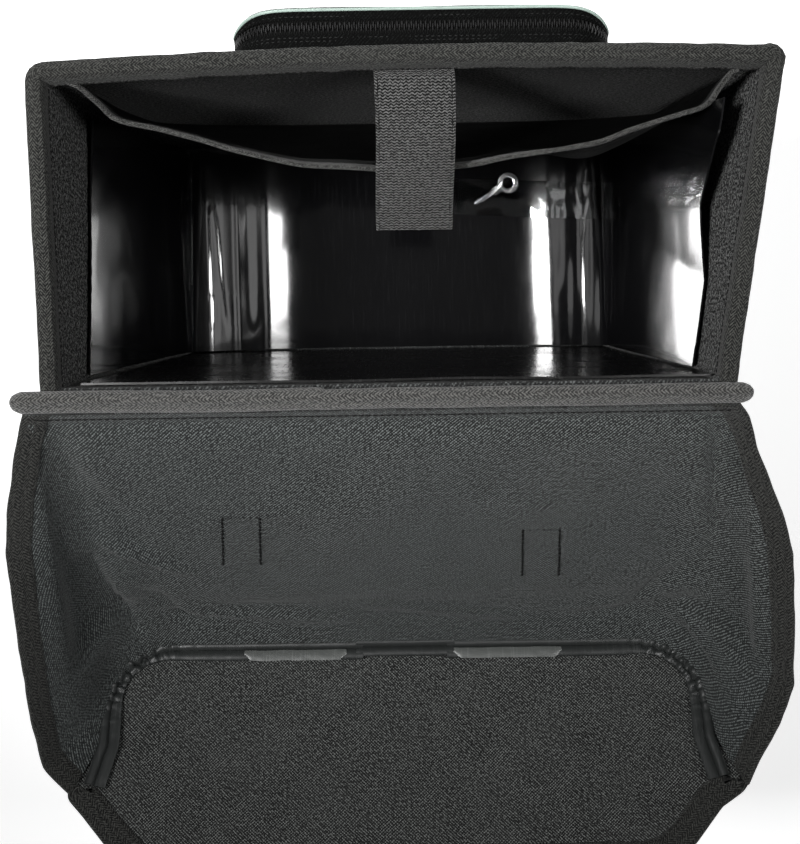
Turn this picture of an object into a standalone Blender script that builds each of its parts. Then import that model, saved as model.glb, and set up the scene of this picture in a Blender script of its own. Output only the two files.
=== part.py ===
"""Bicycle pannier bag with a boxed lid hood, zipped front pocket, liner and rack hooks.

Frame: metres, +Z up.  The origin is the centre of the base underside.
+Y is the outer side (zipped pocket), -Y is the bicycle side (hooks), +X is the
right-hand side seen from the bicycle.  The lid is modelled folded back and
resting above the rack hooks, so the mouth is open.
"""
import math

import bmesh
import bpy
from mathutils import Matrix, Vector

for ob in list(bpy.data.objects):
    bpy.data.objects.remove(ob, do_unlink=True)

CM = 0.01
GAP = 0.03                      # cm, clearance between touching pieces

# ---- driving dimensions, centimetres ------------------------------------
BASE_T = 0.5                    # base panel thickness
WALL_T = 0.5                    # fabric and stiffener board of a wall
RIM_Z = 31.4                    # top edge of the front and side walls
BACK_TOP_Z = 31.25              # top edge of the back wall, under the hinge bar
BACK_Y = -8.35                  # outer face of the back wall
FRONT_Y0, FRONT_Y1 = 7.2, 8.35  # outer face of the front wall, base and rim
HALF_BASE = 15.0                # half width at the base
HALF_RIM_F = 18.3               # half width at the rim, front
HALF_RIM_B = 17.6               # half width at the rim, back

HINGE_Y, HINGE_Z = -8.85, 32.0  # lid hinge axis
LID_DROP = math.radians(40.9)   # lid angle below horizontal when folded back
LID_LEN = 21.0                  # hinge axis to ridge seam
LID_T = 0.3
LID_HALF = 18.9
FLAP_FOLD = math.radians(78.8)  # angle between the top panel and the front flap
FLAP_LEN = 13.8
WING_T = 0.3

POCKET_X0, POCKET_X1 = -8.6, 11.6
POCKET_Z0, POCKET_Z1 = 15.5, 27.5
POCKET_R = 2.5
POCKET_Y = 11.6                 # outer face of the pocket cover

WEB_W = 2.5                     # closure webbing width
STRAP_XL, STRAP_XR = -8.75, 7.75
TAIL_LEN = 12.6                 # free webbing from ridge to buckle
HOOK_X = 8.0                    # rack hook centres
LINER_TOP = 24.3


# ---- helpers ------------------------------------------------------------
def material(name, rgb, rough, metal=0.0):
    mat = bpy.data.materials.get(name)
    if mat is None:
        mat = bpy.data.materials.new(name)
        mat.use_nodes = True
        bsdf = mat.node_tree.nodes["Principled BSDF"]
        bsdf.inputs["Base Color"].default_value = (*rgb, 1.0)
        bsdf.inputs["Roughness"].default_value = rough
        bsdf.inputs["Metallic"].default_value = metal
    return mat


MATS = {
    "twill": ((0.045, 0.048, 0.047), 0.85, 0.0),
    "binding": ((0.055, 0.055, 0.053), 0.8, 0.0),
    "liner": ((0.006, 0.006, 0.007), 0.12, 0.0),
    "webbing": ((0.04, 0.04, 0.04), 0.75, 0.0),
    "hook_loop": ((0.05, 0.05, 0.05), 0.9, 0.0),
    "seam_tape": ((0.01, 0.01, 0.011), 0.22, 0.0),
    "zip": ((0.02, 0.02, 0.02), 0.5, 0.0),
    "zip_metal": ((0.09, 0.09, 0.09), 0.35, 1.0),
    "piping": ((0.50, 0.56, 0.52), 0.4, 0.0),
    "plastic": ((0.015, 0.015, 0.016), 0.4, 0.0),
    "alloy": ((0.20, 0.20, 0.21), 0.4, 1.0),
    "steel": ((0.62, 0.62, 0.63), 0.28, 1.0),
    "clear_tape": ((0.75, 0.76, 0.76), 0.1, 0.0),
}


def finish(name, bm, mat, origin=(0, 0, 0), smooth=False):
    """Turn a bmesh in centimetres into a metre object with its origin at origin (cm)."""
    o = Vector(origin)
    bmesh.ops.translate(bm, verts=bm.verts, vec=-o)
    bmesh.ops.scale(bm, verts=bm.verts, vec=(CM, CM, CM))
    bmesh.ops.recalc_face_normals(bm, faces=bm.faces)
    me = bpy.data.meshes.new(name)
    bm.to_mesh(me)
    bm.free()
    ob = bpy.data.objects.new(name, me)
    ob.location = o * CM
    bpy.context.scene.collection.objects.link(ob)
    me.materials.append(material(mat, *MATS[mat]))
    if smooth:
        me.shade_smooth()
        me.set_sharp_from_angle(angle=math.radians(35))
    return ob


def hexa(name, pts, mat, origin=(0, 0, 0)):
    """Closed six-sided solid: four bottom corners in order, then the four above them."""
    bm = bmesh.new()
    v = [bm.verts.new(p) for p in pts]
    for q in ((3, 2, 1, 0), (4, 5, 6, 7), (0, 1, 5, 4), (1, 2, 6, 5), (2, 3, 7, 6), (3, 0, 4, 7)):
        bm.faces.new([v[i] for i in q])
    return finish(name, bm, mat, origin)


def box(name, lo, hi, mat, origin=(0, 0, 0)):
    (a, b, c), (d, e, f) = lo, hi
    return hexa(name, [(a, b, c), (d, b, c), (d, e, c), (a, e, c),
                       (a, b, f), (d, b, f), (d, e, f), (a, e, f)], mat, origin)


def skin(name, grid_a, grid_b, mat, closed_u=False, origin=(0, 0, 0), smooth=False):
    """Solid between two matching grids of points (rows of columns)."""
    bm = bmesh.new()
    nu, nv = len(grid_a), len(grid_a[0])
    A = [[bm.verts.new(p) for p in row] for row in grid_a]
    B = [[bm.verts.new(p) for p in row] for row in grid_b]
    last = nu if closed_u else nu - 1
    for i in range(last):
        k = (i + 1) % nu
        for j in range(nv - 1):
            bm.faces.new((A[i][j], A[k][j], A[k][j + 1], A[i][j + 1]))
            bm.faces.new((B[i][j + 1], B[k][j + 1], B[k][j], B[i][j]))
        bm.faces.new((A[i][0], B[i][0], B[k][0], A[k][0]))
        bm.faces.new((A[k][-1], B[k][-1], B[i][-1], A[i][-1]))
    if not closed_u:
        for j in range(nv - 1):
            bm.faces.new((A[0][j], A[0][j + 1], B[0][j + 1], B[0][j]))
            bm.faces.new((A[-1][j + 1], A[-1][j], B[-1][j], B[-1][j + 1]))
    return finish(name, bm, mat, origin, smooth)


def prism(name, outline, at, mat, origin=(0, 0, 0), smooth=False):
    """Extrude a 2-D outline; at(u, v, side) gives the 3-D point for side 0 or 1."""
    bm = bmesh.new()
    lo = [bm.verts.new(at(u, v, 0)) for u, v in outline]
    hi = [bm.verts.new(at(u, v, 1)) for u, v in outline]
    n = len(outline)
    bm.faces.new(lo[::-1])
    bm.faces.new(hi)
    for i in range(n):
        k = (i + 1) % n
        bm.faces.new((lo[i], lo[k], hi[k], hi[i]))
    return finish(name, bm, mat, origin, smooth)


def rod(name, a, b, r, mat, seg=16, origin=(0, 0, 0)):
    """Cylinder from point a to point b."""
    a, b = Vector(a), Vector(b)
    ax = (b - a).normalized()
    rot = Vector((0, 0, 1)).rotation_difference(ax).to_matrix()
    bm = bmesh.new()
    ends = []
    for c in (a, b):
        ends.append([bm.verts.new(c + rot @ Vector((r * math.cos(t), r * math.sin(t), 0)))
                     for t in (2 * math.pi * i / seg for i in range(seg))])
    bm.faces.new(ends[0][::-1])
    bm.faces.new(ends[1])
    for i in range(seg):
        k = (i + 1) % seg
        bm.faces.new((ends[0][i], ends[0][k], ends[1][k], ends[1][i]))
    return finish(name, bm, mat, origin, smooth=True)


def helper(ob):
    ob.hide_render = True
    ob.display_type = 'WIRE'
    return ob


def boolean(ob, other, op):
    m = ob.modifiers.new(op.lower(), 'BOOLEAN')
    m.operation = op
    m.solver = 'EXACT'
    m.object = helper(other)


def rounded_rect(x0, x1, z0, z1, r, n=5):
    pts = []
    for cx, cz, a0 in ((x1 - r, z1 - r, 0), (x0 + r, z1 - r, 90), (x0 + r, z0 + r, 180), (x1 - r, z0 + r, 270)):
        for i in range(n + 1):
            a = math.radians(a0 + 90 * i / n)
            pts.append((cx + r * math.cos(a), cz + r * math.sin(a)))
    return pts


def front_y(z):
    return FRONT_Y0 + (FRONT_Y1 - FRONT_Y0) * (z - BASE_T) / (RIM_Z - BASE_T)


def half_front(z):
    return HALF_BASE + (HALF_RIM_F - HALF_BASE) * (z - BASE_T) / (RIM_Z - BASE_T)


def half_back(z):
    return HALF_BASE + (HALF_RIM_B - HALF_BASE) * (z - BASE_T) / (RIM_Z - BASE_T)


# ---- shell of the bag ---------------------------------------------------
box("base_panel", (-HALF_BASE, BACK_Y, 0), (HALF_BASE, FRONT_Y0, BASE_T), "twill")
z0, z1 = BASE_T + GAP, RIM_Z


def wall_y(name, ya0, ya1, yb0, yb1, half, top):
    hexa(name, [(-half(z0), ya0, z0), (half(z0), ya0, z0), (half(z0), yb0, z0), (-half(z0), yb0, z0),
                (-half(top), ya1, top), (half(top), ya1, top), (half(top), yb1, top), (-half(top), yb1, top)], "twill")


wall_y("front_wall", front_y(z0) - WALL_T, front_y(z1) - WALL_T, front_y(z0), front_y(z1), half_front, RIM_Z)
wall_y("back_wall", BACK_Y, BACK_Y, BACK_Y + WALL_T, BACK_Y + WALL_T, half_back, BACK_TOP_Z)
for side, s in (("left", -1), ("right", 1)):
    pts = []
    for z in (z0, z1):
        yb, yf = BACK_Y + WALL_T + GAP, front_y(z) - WALL_T - GAP
        ob_, of_ = half_back(z), half_front(z)
        pts += [(s * ob_, yb, z), (s * (ob_ - WALL_T), yb, z), (s * (of_ - WALL_T), yf, z), (s * of_, yf, z)]
    hexa(side + "_wall", pts, "twill")

# seams down the four corners, and the bound edge round the base
for side, s in (("left", -1), ("right", 1)):
    pts = []
    for z in (1.4, 31.2):
        x, y = half_front(z), front_y(z)
        pts += [(s * (x + GAP), y - 0.45, z), (s * (x + 0.25), y - 0.45, z), (s * (x + 0.25), y - 0.02, z), (s * (x + GAP), y - 0.02, z)]
    hexa("front_" + side + "_seam", pts, "binding")
    pts = []
    for z in (1.4, 30.8):
        x, y = half_back(z), BACK_Y
        pts += [(s * (x + GAP), y + 0.02, z), (s * (x + 0.25), y + 0.02, z), (s * (x + 0.25), y + 0.45, z), (s * (x + GAP), y + 0.45, z)]
    hexa("back_" + side + "_seam", pts, "binding")

ring_i = [(-15.12, BACK_Y - GAP), (15.12, BACK_Y - GAP), (15.12, 7.27), (-15.12, 7.27)]
ring_o = [(-15.35, BACK_Y - 0.25), (15.35, BACK_Y - 0.25), (15.35, 7.5), (-15.35, 7.5)]
skin("base_binding", [[(x, y, 0.6), (x, y, 1.2)] for x, y in ring_o], [[(x, y, 0.6), (x, y, 1.2)] for x, y in ring_i],
     "binding", closed_u=True)

# tape over the rim: left side, front, right side, in one run
rim_o = [(-HALF_RIM_B - 0.1, BACK_Y + 1.0), (-HALF_RIM_F - 0.12, FRONT_Y1 + 0.12), (HALF_RIM_F + 0.12, FRONT_Y1 + 0.12), (HALF_RIM_B + 0.1, BACK_Y + 1.0)]
rim_i = [(-HALF_RIM_B + WALL_T, BACK_Y + 1.0), (-HALF_RIM_F + WALL_T + 0.05, FRONT_Y1 - WALL_T - 0.08),
         (HALF_RIM_F - WALL_T - 0.05, FRONT_Y1 - WALL_T - 0.08), (HALF_RIM_B - WALL_T, BACK_Y + 1.0)]
skin("mouth_binding", [[(x, y, RIM_Z + GAP), (x, y, RIM_Z + 0.3)] for x, y in rim_o],
     [[(x, y, RIM_Z + GAP), (x, y, RIM_Z + 0.3)] for x, y in rim_i], "binding")

# ---- inside: back board, bent liner, slip pocket, strap, key ---------------
hexa("back_board", [(-14.2, -7.82, 0.9), (14.2, -7.82, 0.9), (14.2, -7.65, 0.9), (-14.2, -7.65, 0.9),
                    (-16.5, -7.82, 30.6), (16.5, -7.82, 30.6), (16.5, -7.65, 30.6), (-16.5, -7.65, 30.6)], "liner")

prof = []                                    # outer line of the U, right half then mirrored
for i in range(9):
    a = math.radians(90 * i / 8)
    prof.append((9.5 + 4.9 * math.sin(a), BASE_T + 0.06 + 4.9 * (1 - math.cos(a)), math.sin(a), -math.cos(a)))
prof.append((16.2, LINER_TOP, 0.995, -0.09))
full = [(-x, z, -nx, nz) for x, z, nx, nz in prof[::-1]] + prof
LT = 0.15
skin("liner", [[(x, -7.6, z), (x, 6.4, z)] for x, z, nx, nz in full],
     [[(x - nx * LT, -7.6, z - nz * LT), (x - nx * LT, 6.4, z - nz * LT)] for x, z, nx, nz in full], "liner", smooth=True)


def pocket_edge_z(x):
    return 28.0 + 2.6 * min(1.0, abs(x) / 16.6) ** 2


def pocket_y(x, z):
    t = max(0.0, min(1.0, (z - 12.0) / 17.0))
    b = max(0.0, 1 - (x / 16.6) ** 2)
    return front_y(z) - WALL_T - 0.12 - 4.4 * b * t ** 1.3


xs = [-16.6 + 33.2 * i / 16 for i in range(17)]
ga, gb, ba, bb = [], [], [], []
for x in xs:
    zt = pocket_edge_z(x)
    zs = [12.0 + (zt - 12.0) * j / 6 for j in range(7)]
    k = (17.0 if x > 0 else 16.6) / 16.6
    fit = [min(1.0, (half_front(z) - WALL_T - 0.12) / 16.65) for z in zs]
    ga.append([(x * f, pocket_y(x, z), z) for z, f in zip(zs, fit)])
    gb.append([(x * f, pocket_y(x, z) - 0.2, z) for z, f in zip(zs, fit)])
    ba.append([(x, pocket_y(x, zt) + 0.03, zt + GAP), (x, pocket_y(x, zt) + 0.03, zt + 0.5)])
    bb.append([(x, pocket_y(x, zt) - 0.25, zt + GAP), (x, pocket_y(x, zt) - 0.25, zt + 0.5)])
skin("inner_pocket", ga, gb, "twill", smooth=True)
skin("inner_pocket_binding", ba, bb, "binding", smooth=True)

# hook-and-loop strap: sewn at the rim, standing inward over the pocket edge
SX0, SX1 = -0.95, 2.95
sp, st = Vector((0, 7.45, 31.0)), Vector((0, 0.1, 27.5))
sd = (st - sp).normalized()
sn = Vector((0, -sd.z, sd.y))
if sn.z < 0:
    sn = -sn
pts = []
for c in (sp, st):
    for x, n in ((SX0, -0.12), (SX1, -0.12), (SX1, 0.12), (SX0, 0.12)):
        p = c + sn * n
        pts.append((x, p.y, p.z))
hexa("hook_loop_strap", pts, "hook_loop", origin=(1.0, sp.y, sp.z))

# key lying on the liner floor under a strip of tape
kc, ktip = Vector((7.84, 3.87)), Vector((5.57, 2.51))
KS = 0.78                       # a small key, 35 mm long
kd = (ktip - kc).normalized()
kn = Vector((-kd.y, kd.x))
bow = [(0.95 * KS * math.cos(t), 0.95 * KS * math.sin(t)) for t in (math.radians(22 + i * 316 / 13) for i in range(14))]
L = (ktip - kc).length
outline = bow + [(1.6 * KS, -0.36 * KS), (1.6 * KS, -0.2 * KS), (L, -0.2 * KS), (L + 0.2 * KS, 0.0), (L, 0.2 * KS), (2.9 * KS, 0.2 * KS),
                 (2.7 * KS, 0.32 * KS), (2.4 * KS, 0.2 * KS), (1.6 * KS, 0.2 * KS), (1.6 * KS, 0.36 * KS)]


def key_at(u, v, side):
    p = kc + kd * u + kn * v
    return (p.x, p.y, 0.75 if side == 0 else 0.93)


key = prism("key", outline, key_at, "steel")
hole = rod("key_hole_cutter", (kc.x, kc.y, 0.5), (kc.x, kc.y, 1.2), 0.5 * KS, "steel", seg=14)
boolean(key, hole, 'DIFFERENCE')
box("key_tape", (4.2, 1.9, 0.97), (9.3, 4.4, 1.02), "clear_tape")

# ---- zipped front pocket ------------------------------------------------


def bowed(x, y):
    """The pocket's edges lean back at its two ends, the more the further they stand off the wall."""
    b = 1.15 * min(1.0, abs((x - 1.5) / 10.1)) ** 12
    return y - b * max(0.0, y - 8.6) / 3.0


def pocket_ring(name, inset, depth, y0, y1, mat, smooth=True):
    """Rounded ring round the pocket; y0 may follow the sloping front wall."""
    o = rounded_rect(POCKET_X0 + inset, POCKET_X1 - inset, POCKET_Z0 + inset, POCKET_Z1 - inset, POCKET_R - inset)
    i = rounded_rect(POCKET_X0 + inset + depth, POCKET_X1 - inset - depth, POCKET_Z0 + inset + depth, POCKET_Z1 - inset - depth,
                     POCKET_R - inset - depth)

    def yy(x, z):
        return front_y(z) + GAP if y0 is None else bowed(x, y0)
    return skin(name, [[(x, yy(x, z), z), (x, bowed(x, y1), z)] for x, z in o],
                [[(x, yy(x, z), z), (x, bowed(x, y1), z)] for x, z in i], mat, closed_u=True, smooth=smooth)


pocket_ring("pocket_gusset_rear", 0.0, 0.3, None, 10.24, "twill")
pocket_ring("zip_chain", 0.06, 0.2, 10.30, 10.97, "zip")
pocket_ring("pocket_gusset_front", 0.0, 0.3, 11.04, 11.28, "twill")
pocket_ring("pocket_piping", -0.08, 0.3, 11.36, POCKET_Y, "piping")
cov = rounded_rect(POCKET_X0 + 0.25, POCKET_X1 - 0.25, POCKET_Z0 + 0.25, POCKET_Z1 - 0.25, POCKET_R - 0.25)
prism("pocket_cover", cov, lambda u, v, s: (u, 11.31 if s == 0 else POCKET_Y - 0.04, v), "twill", smooth=True)

ZX = POCKET_X1 + GAP
box("zip_slider", (ZX, 9.56, 18.2), (ZX + 0.4, 10.16, 19.3), "zip_metal", origin=(ZX + 0.2, 9.86, 18.7))
box("zip_pull", (ZX + 0.44, 9.66, 16.2), (ZX + 0.58, 10.06, 18.55), "zip_metal", origin=(ZX + 0.51, 9.86, 18.5))

# ---- lid hood -----------------------------------------------------------
T = Vector((0, -math.cos(LID_DROP), -math.sin(LID_DROP)))      # hinge to ridge
N = Vector((0, -math.sin(LID_DROP), math.cos(LID_DROP)))       # towards the inside of the hood
H = Vector((0, HINGE_Y, HINGE_Z))
F = T * math.cos(FLAP_FOLD) + N * math.sin(FLAP_FOLD)          # ridge to flap hem
O = T * math.sin(FLAP_FOLD) - N * math.cos(FLAP_FOLD)          # flap outward
RIDGE = H + T * LID_LEN


def lid(x, s, n):
    p = H + T * s + N * n
    return (x, p.y, p.z)


def flap(x, v, o):
    p = RIDGE + F * v + O * o
    return (x, p.y, p.z)


bar = [(0.5 * math.cos(t), 0.38 * math.sin(t)) for t in (math.radians(22.5 + 45 * i) for i in range(8))]
prism("hinge_binding", bar, lambda u, v, s: lid(-18.9 if s == 0 else 18.9, u, v), "binding", origin=(0, HINGE_Y, HINGE_Z), smooth=True)

top = [(-LID_HALF, 0.62), (LID_HALF, 0.62), (LID_HALF, 17.5), (LID_HALF - 0.7, 20.9), (-LID_HALF + 0.7, 20.9), (-LID_HALF, 17.5)]
prism("lid_top", top, lambda u, v, s: lid(u, v, -LID_T / 2 if s == 0 else LID_T / 2), "twill", origin=(0, HINGE_Y, HINGE_Z))

fold = [(18.6, 0.9), (18.6, 6.0), (18.6, 12.0), (18.55, 17.4), (18.0, 20.8)]
edge = [(18.75, 0.9, 0.75), (19.75, 5.2, 3.4), (20.5, 11.5, 6.0), (20.2, 17.3, 8.0), (19.45, 22.35, 8.5)]
for side, sg in (("left", -1), ("right", 1)):
    ia, ib = [], []
    for (fx, fs), (ex, es, en) in zip(fold, edge):
        rows_i, rows_o = [], []
        for k in range(4):
            t = k / 3
            x, s_, n_ = fx + (ex - fx) * t, fs + (es - fs) * t, 0.2 + (en - 0.2) * t
            rows_i.append(lid(sg * x, s_, n_))
            rows_o.append(lid(sg * (x + WING_T), s_, n_))
        ia.append(rows_i)
        ib.append(rows_o)
    skin("lid_" + side + "_wing", ia, ib, "twill", origin=(0, HINGE_Y, HINGE_Z), smooth=True)


def flap_half():
    """Right half of the flap outline: ridge centre to hem centre, in (x, v)."""
    pts = []
    for i in range(6):
        a = math.radians(90 - 90 * i / 5)
        pts.append((13.8 + 3.9 * math.cos(a), 4.2 - 3.9 * math.sin(a)))
    pts += [(18.3, 6.4), (19.3, 8.7), (16.0, 12.3), (13.6, FLAP_LEN)]
    return pts


fh = flap_half()
outline = [(-x, v) for x, v in fh[::-1]] + fh
prism("lid_flap", outline, lambda u, v, s: flap(u, v, 0.05 if s == 0 else 0.05 + LID_T), "twill", origin=(0, HINGE_Y, HINGE_Z))

# glossy tape covering the seam between hood and flap, on the inside
so = [(x - 0.25 if x > 0 else x, v + 0.2) for x, v in fh[:7]] + [(18.6, 8.4)]
si = [(max(x - 1.6, 12.6) if i > 0 else 13.6, v + 1.5 if i < 3 else v + 0.9) for i, (x, v) in enumerate(so)]
run_o = [(-x, v) for x, v in so[::-1]] + so
run_i = [(-x, v) for x, v in si[::-1]] + si
skin("seam_tape", [[flap(x, v, 0.0), flap(x, v, -0.08)] for x, v in run_o], [[flap(x, v, 0.0), flap(x, v, -0.08)] for x, v in run_i],
     "seam_tape", origin=(0, HINGE_Y, HINGE_Z))

# bound free edge of the hood: left wing, hem of the flap, right wing, one run of tape
path = []
for ex, es, en in edge:
    d = 0.32
    path.append(Vector(lid(ex + 0.15, es - 0.1, en + d)))
path[-1] = Vector(lid(19.75, 22.3, 8.85))
hem = [(19.75, 9.1, 0.2), (16.25, 12.72, 0.2), (13.8, 14.22, 0.2)]
right = path + [Vector(flap(*h)) for h in hem]
run = [Vector((-p.x, p.y, p.z)) for p in right] + right[::-1]
bm = bmesh.new()
rings = []
for i, p in enumerate(run):
    a = run[max(i - 1, 0)]
    b = run[min(i + 1, len(run) - 1)]
    d = (b - a).normalized()
    side = d.cross(N).normalized()
    up = side.cross(d).normalized()
    rings.append([bm.verts.new(p + side * u * 0.26 + up * w * 0.26) for u, w in ((-1, -1), (1, -1), (1, 1), (-1, 1))])
for r0, r1 in zip(rings, rings[1:]):
    for k in range(4):
        m = (k + 1) % 4
        bm.faces.new((r0[k], r0[m], r1[m], r1[k]))
bm.faces.new(rings[0][::-1])
bm.faces.new(rings[-1])
finish("lid_edge_binding", bm, "binding", origin=(0, HINGE_Y, HINGE_Z))

# closure webbing: sewn to the outside of the lid, then a free tail with its buckle
PIV = H + T * (LID_LEN + 0.45) + N * (-0.35)
for side, cx, s0 in (("left", STRAP_XL, 8.4), ("right", STRAP_XR, 9.8)):
    hw = WEB_W / 2
    prism(side + "_lid_strap", [(cx - hw, s0), (cx + hw, s0), (cx + hw, 20.9), (cx - hw, 20.9)],
          lambda u, v, s: lid(u, v, -LID_T / 2 - GAP - (0.2 if s == 0 else 0.0)), "webbing", origin=(0, HINGE_Y, HINGE_Z))
    zt = PIV.z + 0.05
    zb = PIV.z - TAIL_LEN
    box(side + "_strap_tail", (cx - hw, PIV.y - 0.1, zb), (cx + hw, PIV.y + 0.1, zt), "webbing", origin=(cx, PIV.y, PIV.z))
    # male half of the buckle: bar frame with two side arms and a centre tongue
    b = [(-1.6, 0.0), (1.6, 0.0), (1.6, -0.9), (1.2, -1.0), (1.25, -2.3), (0.85, -2.5), (0.75, -1.05), (0.3, -1.05), (0.25, -2.3),
         (-0.25, -2.3), (-0.3, -1.05), (-0.75, -1.05), (-0.85, -2.5), (-1.25, -2.3), (-1.2, -1.0), (-1.6, -0.9)]
    prism(side + "_buckle_male", b, lambda u, v, s: (cx + u, PIV.y - 0.28 + 0.56 * s, zb - GAP + v), "plastic", origin=(cx, PIV.y, PIV.z))

# ---- female buckle halves under the front pocket ---------------------------
for side, cx in (("left", STRAP_XL), ("right", STRAP_XR)):
    hw = WEB_W / 2
    pts = []
    for z in (12.5, 14.8):
        y = front_y(z) + GAP
        pts += [(cx - hw, y, z), (cx + hw, y, z), (cx + hw, y + 0.25, z), (cx - hw, y + 0.25, z)]
    hexa(side + "_clip_web", pts, "webbing")
    cy = front_y(12.4) + 0.65
    o = [(-1.65, -0.5), (1.65, -0.5), (1.65, 0.5), (-1.65, 0.5)]
    i = [(-1.35, -0.32), (1.35, -0.32), (1.35, 0.32), (-1.35, 0.32)]
    skin(side + "_clip", [[(cx + x, cy + y, 12.35), (cx + x, cy + y, 8.3)] for x, y in o],
         [[(cx + x, cy + y, 12.35), (cx + x, cy + y, 8.3)] for x, y in i], "plastic", closed_u=True, origin=(cx, cy, 12.3))

# ---- rack hardware on the back ------------------------------------------
rail = rounded_rect(-13.0, 13.0, 25.4, 28.4, 0.6, n=3)
prism("hook_rail", rail, lambda u, v, s: (u, BACK_Y - GAP - (0.57 if s == 0 else 0.0), v), "alloy")
RY = BACK_Y - 0.6                # outer face of the rail
for i, x in enumerate((-12.1, -4.6, 4.6, 12.1), 1):
    rod("rail_screw_%d" % i, (x, RY - GAP, 26.9), (x, RY - 0.25, 26.9), 0.42, "steel", seg=12)

hy = RY - GAP
hook = [(hy, 22.4), (-9.5, 22.4), (-9.5, 26.9), (-11.7, 26.9), (-11.7, 23.6), (-12.2, 23.6), (-12.2, 27.9), (-11.5, 28.6), (hy, 28.6)]
PY, PZ = -9.95, 23.2             # latch pivot
for side, cx in (("left", -HOOK_X), ("right", HOOK_X)):
    ob = prism(side + "_hook", hook, lambda u, v, s: (cx - 1.5 + 3.0 * s, u, v), "plastic")
    for k, (a, b) in enumerate(((-1.5, -1.1), (1.1, 1.5))):
        ear = box(side + "_ear_%d_tool" % k, (cx + a, -10.35, 22.75), (cx + b, -9.4, 23.65), "plastic")
        boolean(ob, ear, 'UNION')
    boolean(ob, rod(side + "_ear_hole_tool", (cx - 2, PY, PZ), (cx + 2, PY, PZ), 0.18, "plastic", seg=12), 'DIFFERENCE')
    rod(side + "_latch_pin", (cx - 1.5, PY, PZ), (cx + 1.5, PY, PZ), 0.14, "steel", seg=12)
    hub = [(PY + 0.3 * math.cos(t), PZ + 0.3 * math.sin(t)) for t in (math.radians(-150 + 300 * i / 9) for i in range(10))]
    prof = hub + [(PY - 0.5, PZ + 0.14), (-11.6, PZ + 0.14), (-11.6, PZ - 0.14), (PY - 0.5, PZ - 0.14)]
    latch = prism(side + "_latch", prof, lambda u, v, s: (cx - 1.05 + 2.1 * s, u, v), "plastic", origin=(cx, PY, PZ))
    boolean(latch, rod(side + "_latch_hole_tool", (cx - 2, PY, PZ), (cx + 2, PY, PZ), 0.18, "plastic", seg=12), 'DIFFERENCE')

lock = prism("lock_housing", rounded_rect(-1.7, 1.7, 25.2, 28.4, 0.5, n=3), lambda u, v, s: (u, -10.4 if s == 0 else hy, v), "plastic")
boolean(lock, rod("lock_bore_tool", (0, -11, 26.8), (0, -9.4, 26.8), 0.75, "plastic", seg=20), 'DIFFERENCE')
barrel = rod("lock_barrel", (0, -10.55, 26.8), (0, -9.45, 26.8), 0.69, "steel", seg=20, origin=(0, -10.0, 26.8))
boolean(barrel, box("keyway_tool", (-0.12, -11, 26.4), (0.12, -9.8, 27.2), "steel"), 'DIFFERENCE')

box("lower_rail", (-7.0, BACK_Y - 0.55, 5.0), (7.0, BACK_Y - GAP, 7.0), "alloy")
LY = BACK_Y - 0.55
for i, x in enumerate((-6.5, 6.5), 1):
    rod("lower_screw_%d" % i, (x, LY - GAP, 6.0), (x, LY - 0.2, 6.0), 0.35, "steel", seg=12)
ly = LY - GAP
j = [(-1.5, ly), (-1.5, -9.35), (1.05, -9.35), (1.05, -10.9), (-0.6, -10.9), (-0.6, -11.35), (1.5, -11.35), (1.5, ly)]
prism("lower_hook", j, lambda u, v, s: (u, v, 5.15 + 1.7 * s), "plastic", origin=(0, ly, 6.0))

for m in bpy.data.meshes:
    m.validate()
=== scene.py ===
"""Looks of the pannier bag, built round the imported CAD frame.  Lengths in the helpers are centimetres."""
import math

import bmesh
import bpy
import numpy as np
from mathutils import Matrix, Vector, noise


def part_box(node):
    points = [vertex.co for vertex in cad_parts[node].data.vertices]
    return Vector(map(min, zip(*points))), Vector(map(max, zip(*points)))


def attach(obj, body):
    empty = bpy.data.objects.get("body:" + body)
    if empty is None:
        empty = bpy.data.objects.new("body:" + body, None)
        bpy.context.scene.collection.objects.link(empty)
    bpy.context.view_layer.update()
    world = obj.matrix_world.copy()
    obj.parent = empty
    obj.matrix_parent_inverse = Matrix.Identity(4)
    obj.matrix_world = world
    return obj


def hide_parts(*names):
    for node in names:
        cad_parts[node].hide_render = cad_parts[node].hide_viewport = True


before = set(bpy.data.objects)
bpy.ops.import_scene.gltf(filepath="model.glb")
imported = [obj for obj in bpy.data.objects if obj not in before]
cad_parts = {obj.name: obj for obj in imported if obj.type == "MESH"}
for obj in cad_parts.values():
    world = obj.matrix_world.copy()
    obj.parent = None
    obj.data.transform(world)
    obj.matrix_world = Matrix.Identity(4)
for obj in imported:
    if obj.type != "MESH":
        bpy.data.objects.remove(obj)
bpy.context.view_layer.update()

CM = 0.01
RNG = np.random.default_rng(7)


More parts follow.
